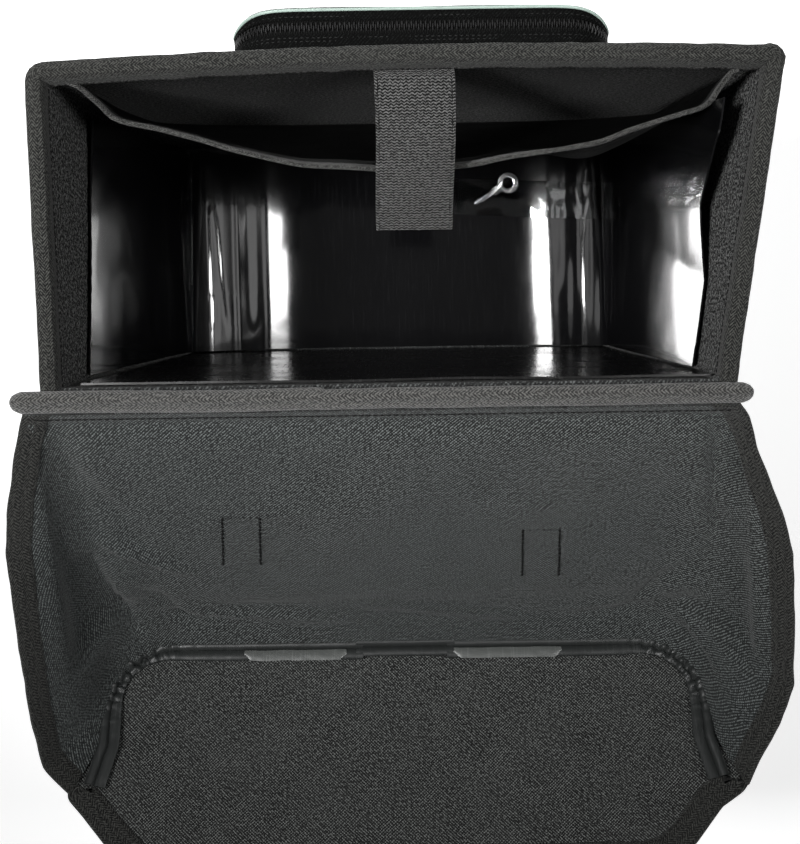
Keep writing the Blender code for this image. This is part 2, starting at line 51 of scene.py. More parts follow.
# =====================================================================
# material helpers
# =====================================================================
class Mat:
    def __init__(self, name):
        self.m = bpy.data.materials.new(name)
        self.m.use_nodes = True
        self.t = self.m.node_tree
        self.b = self.t.nodes["Principled BSDF"]

    def n(self, kind, **kw):
        node = self.t.nodes.new(kind)
        for k, v in kw.items():
            setattr(node, k, v)
        return node

    def set(self, node, **vals):
        for k, v in vals.items():
            node.inputs[k.replace("_", " ")].default_value = v
        return node

    def lk(self, a, b):
        self.t.links.new(a, b)

    def math(self, op, a, b=None, clamp=False):
        node = self.n("ShaderNodeMath", operation=op, use_clamp=clamp)
        for i, v in enumerate((a, b)):
            if v is None:
                continue
            if isinstance(v, (int, float)):
                node.inputs[i].default_value = v
            else:
                self.lk(v, node.inputs[i])
        return node.outputs[0]

    def mix(self, fac, a, b):
        node = self.n("ShaderNodeMix", data_type="RGBA")
        if isinstance(fac, (int, float)):
            node.inputs["Factor"].default_value = fac
        else:
            self.lk(fac, node.inputs["Factor"])
        for s, v in (("A", a), ("B", b)):
            sock = [i for i in node.inputs if i.name == s and i.type == "RGBA"][0]
            if isinstance(v, tuple):
                sock.default_value = (*v, 1.0)
            else:
                self.lk(v, sock)
        return [o for o in node.outputs if o.type == "RGBA"][0]

    def noise(self, vec, scale, detail=2.0, rough=0.5):
        node = self.n("ShaderNodeTexNoise")
        node.inputs["Scale"].default_value = scale
        node.inputs["Detail"].default_value = detail
        node.inputs["Roughness"].default_value = rough
        if vec is not None:
            self.lk(vec, node.inputs["Vector"])
        return node.outputs["Fac"]

    def ramp(self, fac, lo, hi):
        node = self.n("ShaderNodeMapRange", clamp=True)
        node.inputs["From Min"].default_value = lo
        node.inputs["From Max"].default_value = hi
        self.lk(fac, node.inputs["Value"])
        return node.outputs[0]

    def uv(self):
        node = self.n("ShaderNodeTexCoord")
        sep = self.n("ShaderNodeSeparateXYZ")
        self.lk(node.outputs["UV"], sep.inputs[0])
        return node.outputs["UV"], sep.outputs[0], sep.outputs[1]

    def obj(self):
        return self.n("ShaderNodeTexCoord").outputs["Object"]

    def bump(self, height, strength, dist, normal=None):
        node = self.n("ShaderNodeBump")
        node.inputs["Strength"].default_value = strength
        node.inputs["Distance"].default_value = dist
        self.lk(height, node.inputs["Height"])
        if normal is not None:
            self.lk(normal, node.inputs["Normal"])
        return node.outputs[0]

    def done(self, color=None, rough=None, normal=None, **vals):
        if color is not None:
            if isinstance(color, tuple):
                self.b.inputs["Base Color"].default_value = (*color, 1.0)
            else:
                self.lk(color, self.b.inputs["Base Color"])
        if rough is not None:
            if isinstance(rough, (int, float)):
                self.b.inputs["Roughness"].default_value = rough
            else:
                self.lk(rough, self.b.inputs["Roughness"])
        if normal is not None:
            self.lk(normal, self.b.inputs["Normal"])
        for k, v in vals.items():
            self.b.inputs[k.replace("_", " ")].default_value = v
        return self.m


def twill(name, dark, light, period=0.00198, slope=1.0, bump=0.5, mottle=0.16, tint=None, rough=0.78, sheen=0.12, second=0.2, spec=0.35):
    """Woven polyester: diagonal yarn floats with cross yarns, speckle and slow mottling.  UVs are in metres."""
    k = Mat(name)
    vec, u, v = k.uv()
    wob = k.math("MULTIPLY", k.noise(vec, 60.0, 2.0), 0.0012)
    a = k.math("ADD", k.math("ADD", u, k.math("MULTIPLY", v, slope)), wob)
    b = k.math("SUBTRACT", u, k.math("MULTIPLY", v, slope))
    w1 = k.math("SINE", k.math("MULTIPLY", a, 2 * math.pi / period))
    w2 = k.math("SINE", k.math("MULTIPLY", b, 2 * math.pi / (period * 0.97)))
    patch = k.ramp(k.noise(vec, 60.0, 2.0, 0.5), 0.34, 0.66)
    h = k.math("ADD", k.math("MULTIPLY", w1, 0.78), k.math("MULTIPLY", w2, k.math("MULTIPLY", patch, 3.2 * second)))
    sp = k.math("SUBTRACT", k.ramp(k.noise(vec, 640.0, 2.0, 0.75), 0.36, 0.64), 0.5)
    f = k.math("ADD", k.math("SUBTRACT", h, 0.06), k.math("MULTIPLY", sp, 1.65), clamp=True)
    col = k.mix(f, dark, light)
    slow = k.ramp(k.noise(vec, 26.0, 3.0, 0.6), 0.3, 0.7)
    col = k.mix(k.math("MULTIPLY", slow, mottle), col, tuple(0.42 * c for c in light))
    fluff = k.ramp(k.noise(vec, 620.0, 2.0, 0.7), 0.64, 0.76)
    col = k.mix(k.math("MULTIPLY", fluff, 0.4), col, tuple(min(1, 1.8 * c) for c in light))
    if tint is not None:
        big = k.ramp(k.noise(vec, 4.0, 2.0, 0.5), 0.35, 0.65)
        col = k.mix(k.math("MULTIPLY", big, 0.3), col, tint)
    nb = k.bump(f, bump, 0.0006)
    r = k.math("ADD", k.math("MULTIPLY", slow, -0.08), rough + 0.04)
    return k.done(col, r, nb, Sheen_Weight=sheen, Sheen_Roughness=0.5, Specular_IOR_Level=spec)


def herringbone(name, dark, light, width=0.0031, period=0.0020, bump=0.6, rough=0.8, sheen=0.3, spec=0.35):
    """Woven tape: rows of chevrons running along the tape (u along, v across, metres)."""
    k = Mat(name)
    vec, u, v = k.uv()
    fr = k.math("FRACT", k.math("DIVIDE", v, width * 2))
    tri = k.math("ABSOLUTE", k.math("SUBTRACT", fr, 0.5))
    ph = k.math("ADD", k.math("DIVIDE", u, period), k.math("MULTIPLY", tri, 3.6))
    ph = k.math("ADD", ph, k.math("MULTIPLY", k.noise(vec, 90.0, 2.0), 0.5))
    w = k.math("ADD", k.math("MULTIPLY", k.math("SINE", k.math("MULTIPLY", ph, 2 * math.pi)), 0.5), 0.5)
    fine = k.math("ADD", k.math("MULTIPLY", k.math("SINE", k.math("MULTIPLY", u, 2 * math.pi / 0.00062)), 0.5), 0.5)
    sp = k.math("SUBTRACT", k.ramp(k.noise(vec, 640.0, 2.0, 0.75), 0.36, 0.64), 0.5)
    edge = k.math("LESS_THAN", tri, 0.035)
    f = k.math("ADD", k.math("SUBTRACT", k.math("MULTIPLY", w, 0.95), 0.2), k.math("ADD", k.math("MULTIPLY", sp, 1.15), k.math("MULTIPLY", fine, 0.1)), clamp=True)
    f = k.math("SUBTRACT", f, k.math("MULTIPLY", edge, 0.25), clamp=True)
    col = k.mix(f, dark, light)
    slow = k.ramp(k.noise(vec, 22.0, 3.0, 0.6), 0.3, 0.75)
    col = k.mix(k.math("MULTIPLY", slow, 0.3), col, tuple(0.6 * c for c in light))
    nb = k.bump(f, bump, 0.0006)
    return k.done(col, rough, nb, Sheen_Weight=sheen, Sheen_Roughness=0.5, Specular_IOR_Level=spec)


def webbing(name, dark, light, sheen=0.2, spec=0.4):
    k = Mat(name)
    vec, u, v = k.uv()
    rib = k.math("SINE", k.math("MULTIPLY", k.math("ADD", u, k.math("MULTIPLY", k.math("ABSOLUTE", k.math("SUBTRACT", k.math("FRACT", k.math("DIVIDE", v, 0.0042)), 0.5)), 0.0016)), 2 * math.pi / 0.0013))
    col_ = k.math("SINE", k.math("MULTIPLY", v, 2 * math.pi / 0.0021))
    f = k.math("ADD", k.math("MULTIPLY", rib, 0.4), k.math("ADD", k.math("MULTIPLY", col_, 0.2), k.math("MULTIPLY", k.noise(vec, 900.0, 1.0), 0.9)), clamp=True)
    col = k.mix(f, dark, light)
    return k.done(col, 0.72, k.bump(f, 0.8, 0.0007), Sheen_Weight=sheen, Specular_IOR_Level=spec)


def hookloop(name):
    """Loop side of hook-and-loop tape: fine herringbone ground under a fuzzy pile."""
    k = Mat(name)
    vec, u, v = k.uv()
    fr = k.math("FRACT", k.math("DIVIDE", v, 0.0027))
    tri = k.math("ABSOLUTE", k.math("SUBTRACT", fr, 0.5))
    ph = k.math("ADD", k.math("DIVIDE", u, 0.00152), k.math("MULTIPLY", tri, 1.1))
    ph = k.math("ADD", ph, k.math("MULTIPLY", k.noise(vec, 120.0, 2.0), 0.6))
    w = k.math("ADD", k.math("MULTIPLY", k.math("SINE", k.math("MULTIPLY", ph, 2 * math.pi)), 0.5), 0.5)
    vor = k.n("ShaderNodeTexVoronoi")
    vor.inputs["Scale"].default_value = 760.0
    k.lk(vec, vor.inputs["Vector"])
    cell = k.ramp(vor.outputs["Distance"], 0.05, 0.62)
    sp = k.ramp(k.noise(vec, 700.0, 2.0, 0.75), 0.38, 0.62)
    f = k.math("ADD", k.math("SUBTRACT", k.math("MULTIPLY", w, 1.35), 1.05), k.math("ADD", k.math("MULTIPLY", cell, 0.35), k.math("MULTIPLY", sp, 0.95)), clamp=True)
    col = k.mix(f, (0.0006, 0.0006, 0.0006), (0.165, 0.165, 0.162))
    slow = k.ramp(k.noise(vec, 45.0, 3.0, 0.6), 0.3, 0.75)
    col = k.mix(k.math("MULTIPLY", slow, 0.3), col, (0.02, 0.02, 0.0195))
    return k.done(col, 0.9, k.bump(f, 0.9, 0.0008), Sheen_Weight=0.08, Specular_IOR_Level=0.15)


def facing(name):
    """Fuzzy speckled inner facing of the walls."""
    k = Mat(name)
    vec, u, v = k.uv()
    sp = k.ramp(k.noise(vec, 700.0, 2.0, 0.8), 0.40, 0.62)
    sp2 = k.ramp(k.noise(vec, 330.0, 3.0, 0.7), 0.38, 0.66)
    f = k.math("SUBTRACT", k.math("ADD", k.math("MULTIPLY", sp, 1.6), k.math("MULTIPLY", sp2, 0.7)), 0.82, clamp=True)
    col = k.mix(f, (0.0004, 0.0004, 0.0004), (0.21, 0.212, 0.208))
    slow = k.ramp(k.noise(vec, 12.0, 3.0, 0.6), 0.3, 0.7)
    col = k.mix(k.math("MULTIPLY", slow, 0.25), col, (0.004, 0.0042, 0.0042))
    return k.done(col, 0.93, k.bump(f, 0.4, 0.0006), Sheen_Weight=0.04, Specular_IOR_Level=0.1)


def gloss_film(name, col, rough, wav=0.12, scuff=0.05, spec=0.9, coat=0.8, wing=0.0):
    """Polyethylene or PVC film: near black, glossy, with faint scuffs and slow waves."""
    k = Mat(name)
    o = k.obj()
    wv = k.noise(o, 22.0, 2.0, 0.5)
    fine = k.noise(o, 1400.0, 2.0, 0.6)
    scr = k.n("ShaderNodeTexNoise")
    scr.inputs["Scale"].default_value = 90.0
    scr.inputs["Detail"].default_value = 4.0
    mp = k.n("ShaderNodeMapping")
    mp.inputs["Scale"].default_value = (14.0, 0.5, 1.0)
    k.lk(o, mp.inputs["Vector"])
    k.lk(mp.outputs[0], scr.inputs["Vector"])
    s = k.ramp(scr.outputs["Fac"], 0.55, 0.75)
    r = k.math("ADD", k.math("MULTIPLY", s, scuff), k.math("ADD", rough, k.math("MULTIPLY", k.ramp(k.noise(o, 30.0, 4.0, 0.6), 0.4, 0.7), scuff)))
    sp_ = k.n("ShaderNodeSeparateXYZ")
    k.lk(o, sp_.inputs[0])
    r = k.math("ADD", r, k.math("MULTIPLY", k.ramp(sp_.outputs[2], 0.03, 0.09), wing))
    n1 = k.bump(wv, wav, 0.004)
    n2 = k.bump(fine, 0.03, 0.0003, n1)
    c = k.mix(k.math("MULTIPLY", s, 0.5), col, tuple(min(1.0, 2.2 * x + 0.004) for x in col))
    return k.done(c, r, n2, Specular_IOR_Level=spec, Coat_Weight=coat, Coat_Roughness=rough * 0.7, Coat_IOR=1.55)


def moulded(name, col, rough=0.42, metal=0.0, grain=900.0, bump=0.12, wear=None, spec=0.5):
    """Moulded plastic or cast and plated metal: fine grain, slow roughness change, light wear."""
    k = Mat(name)
    o = k.obj()
    g = k.noise(o, grain, 2.0, 0.6)
    slow = k.ramp(k.noise(o, 35.0, 4.0, 0.6), 0.3, 0.75)
    geo = k.n("ShaderNodeNewGeometry")
    edge = k.ramp(geo.outputs["Pointiness"], 0.52, 0.62)
    w = k.math("MULTIPLY", edge, k.ramp(k.noise(o, 160.0, 3.0, 0.7), 0.35, 0.7))
    c = k.mix(k.math("MULTIPLY", slow, 0.4), col, tuple(0.75 * x for x in col))
    c = k.mix(k.math("MULTIPLY", w, 0.5), c, wear or tuple(min(1, 1.8 * x + 0.02) for x in col))
    r = k.math("ADD", k.math("MULTIPLY", slow, 0.12), rough)
    return k.done(c, r, k.bump(g, bump, 0.0002), Metallic=metal, Specular_IOR_Level=spec)


def clear_film(name):
    k = Mat(name)
    o = k.obj()
    n1 = k.bump(k.noise(o, 70.0, 2.0, 0.6), 0.12, 0.0012)
    return k.done((0.92, 0.93, 0.93), 0.06, n1, Transmission_Weight=1.0, IOR=1.45, Specular_IOR_Level=0.8, Coat_Weight=0.6, Coat_Roughness=0.05)


def thread(name, col, sheen=0.2):
    k = Mat(name)
    vec = k.obj()
    f = k.noise(vec, 2500.0, 2.0)
    return k.done(k.mix(f, tuple(0.5 * c for c in col), col), 0.6, k.bump(f, 0.4, 0.0002), Sheen_Weight=sheen, Specular_IOR_Level=0.25)


M = {
    "lid_in": twill("lid_inner_twill", (0.0006, 0.0006, 0.0006), (0.182, 0.200, 0.195), tint=(0.020, 0.026, 0.027)),
    "flap_in": twill("flap_inner_twill", (0.0006, 0.0006, 0.0006), (0.160, 0.168, 0.161), slope=-1.0, second=0.30),
    "outer": twill("outer_twill", (0.001, 0.001, 0.001), (0.110, 0.116, 0.115)),
    "facing": facing("inner_facing"),
    "tape": herringbone("edge_tape", (0.002, 0.002, 0.002), (0.150, 0.148, 0.140)),
    "tape2": herringbone("hood_tape", (0.0006, 0.0006, 0.0006), (0.062, 0.063, 0.058), sheen=0.1, spec=0.2),
    "tape4": herringbone("pocket_tape", (0.0008, 0.0008, 0.0008), (0.120, 0.120, 0.114), width=0.0022, period=0.0016, sheen=0.15, spec=0.2),
    "tape3": herringbone("rim_tape", (0.0006, 0.0006, 0.0006), (0.072, 0.073, 0.067), width=0.0026, period=0.0018, sheen=0.1, spec=0.2),
    "gusset": twill("gusset_fabric", (0.0003, 0.0003, 0.0003), (0.0065, 0.0072, 0.0068), sheen=0.0, spec=0.08),
    "liner": gloss_film("pe_liner", (0.0035, 0.0035, 0.004), 0.085, wav=0.05, scuff=0.03, spec=0.5, coat=0.5, wing=0.1),
    "board": gloss_film("pe_board", (0.005, 0.005, 0.005), 0.22, wav=0.03, scuff=0.08, coat=0.0, spec=0.5),
    "pvc": gloss_film("pvc_seam_tape", (0.020, 0.022, 0.0215), 0.40, wav=0.16, scuff=0.12, coat=0.0, spec=0.55),
    # painted highlight: the lip's PVC is a lighter copy of the seam tape's PVC above, standing in for light on its flat
    # strip
    "pvc_lip_painted_light": gloss_film("pvc_seam_lip_painted_light", (0.085, 0.090, 0.086), 0.38, wav=0.10, scuff=0.12, coat=0.1, spec=0.6),
    "web": webbing("strap_webbing", (0.014, 0.014, 0.014), (0.075, 0.075, 0.074)),
    "velcro": hookloop("hook_loop"),
    "pocket_in": twill("slip_pocket_twill", (0.0005, 0.0005, 0.0005), (0.030, 0.031, 0.030), sheen=0.02, spec=0.12),
    "coated": gloss_film("pocket_coating", (0.0012, 0.0012, 0.0012), 0.5, wav=0.1, scuff=0.1, coat=0.0, spec=0.12),
    "plastic": moulded("black_plastic", (0.016, 0.016, 0.017), 0.4),
    "coil": moulded("zip_coil", (0.003, 0.003, 0.003), 0.45, grain=2200.0, spec=0.22, wear=(0.02, 0.02, 0.02)),
    "ziptape": webbing("zip_tape", (0.0008, 0.0008, 0.0008), (0.009, 0.0095, 0.009), sheen=0.0, spec=0.08),
    "zipmetal": moulded("zip_metal", (0.07, 0.07, 0.072), 0.35, metal=0.9),
    "reflect": moulded("reflective_piping", (0.38, 0.48, 0.43), 0.34, grain=1500.0, bump=0.3),
    "alloy": moulded("anodised_alloy", (0.12, 0.12, 0.125), 0.4, metal=0.9, grain=1800.0),
    "steel": moulded("nickel_steel", (0.78, 0.78, 0.80), 0.2, metal=1.0, grain=1800.0, bump=0.04),
    "clear": clear_film("clear_film"),
    "thread": thread("black_thread", (0.0015, 0.0015, 0.0015), 0.0),
    "thread_g": thread("grey_thread", (0.16, 0.16, 0.155)),
    "thread_d": thread("dark_thread", (0.010, 0.010, 0.010), 0.0),
}


# =====================================================================
# mesh helpers
# =====================================================================
def make(name, verts, faces, uvs, mats, mat_ids=None, body="bag", smooth=True, sharp=35.0, repl=(), slot=None):
    """Object from centimetre vertices; uvs is one (u, v) in metres per face corner."""
    me = bpy.data.meshes.new(name)
    me.from_pydata([tuple(np.asarray(v, float) * CM) for v in verts], [], [tuple(int(i) for i in f) for f in faces])
    if uvs is not None:
        layer = me.uv_layers.new(name="UVMap")
        layer.data.foreach_set("uv", np.asarray(uvs, np.float32).ravel())
    for m in (mats if isinstance(mats, (list, tuple)) else [mats]):
        me.materials.append(M[m])
    if mat_ids is not None:
        me.polygons.foreach_set("material_index", np.asarray(mat_ids, np.int32))
    me.update()
    ob = bpy.data.objects.new(name, me)
    bpy.context.scene.collection.objects.link(ob)
    bm = bmesh.new()
    bm.from_mesh(me)
    bmesh.ops.recalc_face_normals(bm, faces=bm.faces)
    bm.to_mesh(me)
    bm.free()
    if smooth:
        me.shade_smooth()
        me.set_sharp_from_angle(angle=math.radians(sharp))
    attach(ob, body)
    if repl:
        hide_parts(*repl)
    return ob


def arc_lengths(P, axis):
    d = np.linalg.norm(np.diff(P, axis=axis), axis=-1)
    z = np.zeros_like(np.take(d, [0], axis=axis))
    return np.concatenate([z, np.cumsum(d, axis=axis)], axis=axis)


def normals(P, closed=False):
    if closed:
        du = np.roll(P, -1, 0) - np.roll(P, 1, 0)
    else:
        du = np.gradient(P, axis=0)
    dv = np.gradient(P, axis=1)
    n = np.cross(du, dv)
    return n / np.maximum(np.linalg.norm(n, axis=-1, keepdims=True), 1e-9)


def sheet(name, P, thick, mats, closed=False, uvs=None, want=None, **kw):
    """Closed cloth of some thickness on a grid P[i, j] (cm).  mats: material of the + side, the - side, the rim."""
    P = np.asarray(P, float)
    nu, nv = P.shape[:2]
    n = normals(P, closed)
    if want is not None and (n * np.asarray(want)).sum() < 0:
        n = -n
    t = np.asarray(thick, float)
    if t.ndim == 2:
        t = t[..., None]
    A, B = P + n * t / 2, P - n * t / 2
    if uvs is None:
        u = arc_lengths(P, 0) * CM
        v = arc_lengths(P, 1) * CM
        if closed:
            per = np.linalg.norm(P[0] - P[-1], axis=-1) * CM
        uvs = np.stack([u, v], -1)
    verts = np.concatenate([A.reshape(-1, 3), B.reshape(-1, 3)])
    ia = np.arange(nu * nv).reshape(nu, nv)
    ib = ia + nu * nv
    faces, fuv, ids = [], [], []
    last = nu if closed else nu - 1
    for i in range(last):
        k = (i + 1) % nu
        for j in range(nv - 1):
            quv = [uvs[i, j], uvs[k, j], uvs[k, j + 1], uvs[i, j + 1]]
            if k < i:
                e = uvs[i, j][0] + per[j]
                quv = [uvs[i, j], (e, uvs[k, j][1]), (e, uvs[k, j + 1][1]), uvs[i, j + 1]]
            faces.append((ia[i, j], ia[k, j], ia[k, j + 1], ia[i, j + 1]))
            fuv += quv
            ids.append(0)
            faces.append((ib[i, j + 1], ib[k, j + 1], ib[k, j], ib[i, j]))
            fuv += [quv[3], quv[2], quv[1], quv[0]]
            ids.append(1)
        for j in (0, nv - 1):
            faces.append((ia[i, j], ib[i, j], ib[k, j], ia[k, j]) if j == 0 else (ia[k, j], ib[k, j], ib[i, j], ia[i, j]))
            fuv += [(uvs[i, j][0], 0.0), (uvs[i, j][0], 0.003), (uvs[i, j][0] + 0.005, 0.003), (uvs[i, j][0] + 0.005, 0.0)]
            ids.append(2)
    if not closed:
        for j in range(nv - 1):
            for i in (0, nu - 1):
                faces.append((ia[i, j], ia[i, j + 1], ib[i, j + 1], ib[i, j]) if i == 0 else (ia[i, j + 1], ia[i, j], ib[i, j], ib[i, j + 1]))
                fuv += [(0, uvs[i, j][1]), (0, uvs[i, j + 1][1]), (0.003, uvs[i, j + 1][1]), (0.003, uvs[i, j][1])]
                ids.append(2)
    names = list(dict.fromkeys(mats))
    lut = [names.index(m) for m in (mats if len(mats) == 3 else (mats[0], mats[-1], mats[0]))]
    return make(name, verts, faces, fuv, names, [lut[i] for i in ids], **kw)


def sweep(name, path, side, up, prof, mats, closed=False, scale=None, twist=None, capped=True, **kw):
    """Solid run of a closed 2-D profile along a path.  side and up are one vector or one per point."""
    path = np.asarray(path, float)
    n = len(path)
    side = np.broadcast_to(np.asarray(side, float), (n, 3)).copy()
    up = np.broadcast_to(np.asarray(up, float), (n, 3)).copy()
    side /= np.linalg.norm(side, axis=1, keepdims=True)
    up /= np.linalg.norm(up, axis=1, keepdims=True)
    prof = np.asarray(prof, float)
    m = prof.shape[-2]
    pr = np.broadcast_to(prof, (n, m, 2))
    if scale is not None:
        pr = pr * np.asarray(scale, float).reshape(n, 1, -1)
    V = path[:, None, :] + side[:, None, :] * pr[..., :1] + up[:, None, :] * pr[..., 1:]
    seg = np.linalg.norm(np.diff(np.vstack([path, path[:1]]), axis=0), axis=1)
    u = np.concatenate([[0], np.cumsum(seg)]) * CM
    pm = pr[n // 2]
    v = np.concatenate([[0], np.cumsum(np.linalg.norm(np.diff(np.vstack([pm, pm[:1]]), axis=0), axis=1))]) * CM
    idx = np.arange(n * m).reshape(n, m)
    faces, uvs = [], []
    for i in range(n if closed else n - 1):
        k = (i + 1) % n
        for j in range(m):
            q = (j + 1) % m
            faces.append((idx[i, j], idx[k, j], idx[k, q], idx[i, q]))
            uvs += [(u[i], v[j]), (u[i + 1], v[j]), (u[i + 1], v[j + 1]), (u[i], v[j + 1])]
    if not closed and capped:
        for i in (0, n - 1):
            faces.append(tuple(idx[i]) if i else tuple(idx[i][::-1]))
            uvs += [(p[0] * CM, p[1] * CM) for p in (pm if i else pm[::-1])]
    return make(name, V.reshape(-1, 3), faces, uvs, mats, **kw)


def rrect(w, h, r, n=4, cx=0.0, cy=0.0):
    """Rounded rectangle profile centred on (cx, cy)."""
    pts = []
    for sx, sy, a0 in ((1, 1, 0), (-1, 1, 90), (-1, -1, 180), (1, -1, 270)):
        for i in range(n + 1):
            a = math.radians(a0 + 90 * i / n)
            pts.append((cx + sx * (w / 2 - r) + r * math.cos(a), cy + sy * (h / 2 - r) + r * math.sin(a)))
    return np.array(pts)


def resample(P, n, closed=False):
    P = np.asarray(P, float)
    if closed:
        P = np.vstack([P, P[:1]])
    d = np.concatenate([[0], np.cumsum(np.linalg.norm(np.diff(P, axis=0), axis=1))])
    t = np.linspace(0, d[-1], n + 1)[:-1] if closed else np.linspace(0, d[-1], n)
    return np.stack([np.interp(t, d, P[:, k]) for k in range(P.shape[1])], 1)


def smooth_line(P, times=3, closed=False):
    P = np.asarray(P, float).copy()
    for _ in range(times):
        if closed:
            P = (np.roll(P, 1, 0) + 2 * P + np.roll(P, -1, 0)) / 4
        else:
            P[1:-1] = (P[:-2] + 2 * P[1:-1] + P[2:]) / 4
    return P


def catmull(P, per=8):
    P = np.asarray(P, float)
    Q = np.vstack([2 * P[0] - P[1], P, 2 * P[-1] - P[-2]])
    out = []
    for i in range(1, len(Q) - 2):
        a, b, c, d = Q[i - 1:i + 3]
        for t in np.linspace(0, 1, per, endpoint=False):
            out.append(0.5 * (2 * b + (c - a) * t + (2 * a - 5 * b + 4 * c - d) * t * t + (3 * b - a - 3 * c + d) * t ** 3))
    out.append(Q[-2])
    return np.array(out)


def nz(p, s, seed=0.0):
    """Smooth noise in about -1..1 at a point (cm) with feature size s (cm)."""
    return noise.noise(Vector((p[0] / s + seed, p[1] / s - seed, p[2] / s + 0.37 * seed)))


def nfield(P, s, seed=0.0):
    sh = P.shape[:-1]
    return np.array([nz(p, s, seed) for p in P.reshape(-1, 3)]).reshape(sh)


def stitches(name, path, up, body, mat="thread", length=0.26, gap=0.09, r=0.035, lift=0.02):
    """A row of thread stitches lying along a path: one closed capsule a stitch, all in one mesh."""
    path = np.asarray(path, float)
    d = np.concatenate([[0], np.cumsum(np.linalg.norm(np.diff(path, axis=0), axis=1))])
    up = np.broadcast_to(np.asarray(up, float), path.shape)
    verts, faces, uvs = [], [], []
    t = 0.0
    while t + length < d[-1]:
        a, b = (np.array([np.interp(x, d, path[:, k]) for k in range(3)]) for x in (t, t + length))
        w = np.array([np.interp(t, d, up[:, k]) for k in range(3)])
        w /= np.linalg.norm(w)
        ax = (b - a) / max(np.linalg.norm(b - a), 1e-6)
        sd = np.cross(ax, w)
        sd /= max(np.linalg.norm(sd), 1e-6)
        base = len(verts)
        rings = ((0.0, 0.35, -0.6), (0.15, 0.85, 0.3), (0.5, 1.0, 0.75), (0.85, 0.85, 0.3), (1.0, 0.35, -0.6))
        for f, k, h in rings:
            c = a + (b - a) * f + w * (lift + r * h)
            for q in range(6):
                an = 2 * math.pi * q / 6
                verts.append(c + sd * r * k * math.cos(an) * 1.15 + w * r * k * math.sin(an))
        for i in range(len(rings) - 1):
            for q in range(6):
                p = (q + 1) % 6
                faces.append((base + i * 6 + q, base + i * 6 + p, base + i * 6 + 6 + p, base + i * 6 + 6 + q))
                uvs += [(0, 0), (0.001, 0), (0.001, 0.001), (0, 0.001)]
        faces.append(tuple(base + q for q in range(5, -1, -1)))
        faces.append(tuple(base + (len(rings) - 1) * 6 + q for q in range(6)))
        uvs += [(0, 0)] * 12
        t += length + gap
    return make(name, verts, faces, uvs, mat, body=body)


def refine(node, name, mat, body, width=0.06, seg=2, angle=30.0, extra=None, cuts=()):
    """A finer copy of a CAD solid: rounded edges and its own finish."""
    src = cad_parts[node]
    me = src.data.copy()
    me.materials.clear()
    bm = bmesh.new()
    bm.from_mesh(me)
    bmesh.ops.remove_doubles(bm, verts=bm.verts, dist=1e-5)
    bmesh.ops.dissolve_limit(bm, angle_limit=math.radians(1.0), verts=bm.verts, edges=bm.edges)
    bmesh.ops.recalc_face_normals(bm, faces=bm.faces)
    if extra:
        extra(bm)
    bm.to_mesh(me)
    bm.free()
    ob = bpy.data.objects.new(name, me)
    bpy.context.scene.collection.objects.link(ob)
    me.materials.append(M[mat])
    if cuts:
        cv, cf = [], []
        for c, d in cuts:
            b0 = len(cv)
            for sx, sy, sz in ((-1, -1, -1), (1, -1, -1), (1, 1, -1), (-1, 1, -1), (-1, -1, 1), (1, -1, 1), (1, 1, 1), (-1, 1, 1)):
                cv.append(((c[0] + sx * d[0] / 2) * CM, (c[1] + sy * d[1] / 2) * CM, (c[2] + sz * d[2] / 2) * CM))
            cf += [tuple(b0 + k for k in f) for f in ((3, 2, 1, 0), (4, 5, 6, 7), (0, 1, 5, 4), (1, 2, 6, 5), (2, 3, 7, 6), (3, 0, 4, 7))]
        cm = bpy.data.meshes.new("cutter")
        cm.from_pydata(cv, [], cf)
        co_ = bpy.data.objects.new("cutter", cm)
        bpy.context.scene.collection.objects.link(co_)
        bo = ob.modifiers.new("cut", "BOOLEAN")
        bo.operation = "DIFFERENCE"
        bo.solver = "EXACT"
        bo.object = co_
        apply_mods(ob)
        bpy.data.objects.remove(co_)
        bpy.data.meshes.remove(cm)
    m = ob.modifiers.new("bevel", "BEVEL")
    m.width = width * CM
    m.segments = seg
    m.limit_method = "ANGLE"
    m.angle_limit = math.radians(angle)
    m.harden_normals = False
    apply_mods(ob)
    ob.data.shade_smooth()
    ob.data.set_sharp_from_angle(angle=math.radians(50))
    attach(ob, body)
    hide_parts(node)
    return ob


def apply_mods(ob):
    dg = bpy.context.evaluated_depsgraph_get()
    me = bpy.data.meshes.new_from_object(ob.evaluated_get(dg))
    old = ob.data
    ob.modifiers.clear()
    ob.data = me
    me.name = ob.name
    bpy.data.meshes.remove(old)


# =====================================================================
# bag body
# =====================================================================
RIM_Z = 31.4
BASE_C = [(15.0, -8.35), (15.0, 7.2), (-15.0, 7.2), (-15.0, -8.35)]          # back right, front right, front left, back left
RIM_C = [(17.0, -8.33), (19.42, 8.62), (-18.25, 8.3), (-18.05, -8.33)]
SIDES = (26, 56, 26, 56)                                                     # right, front, left, back
CORNER_N = 6


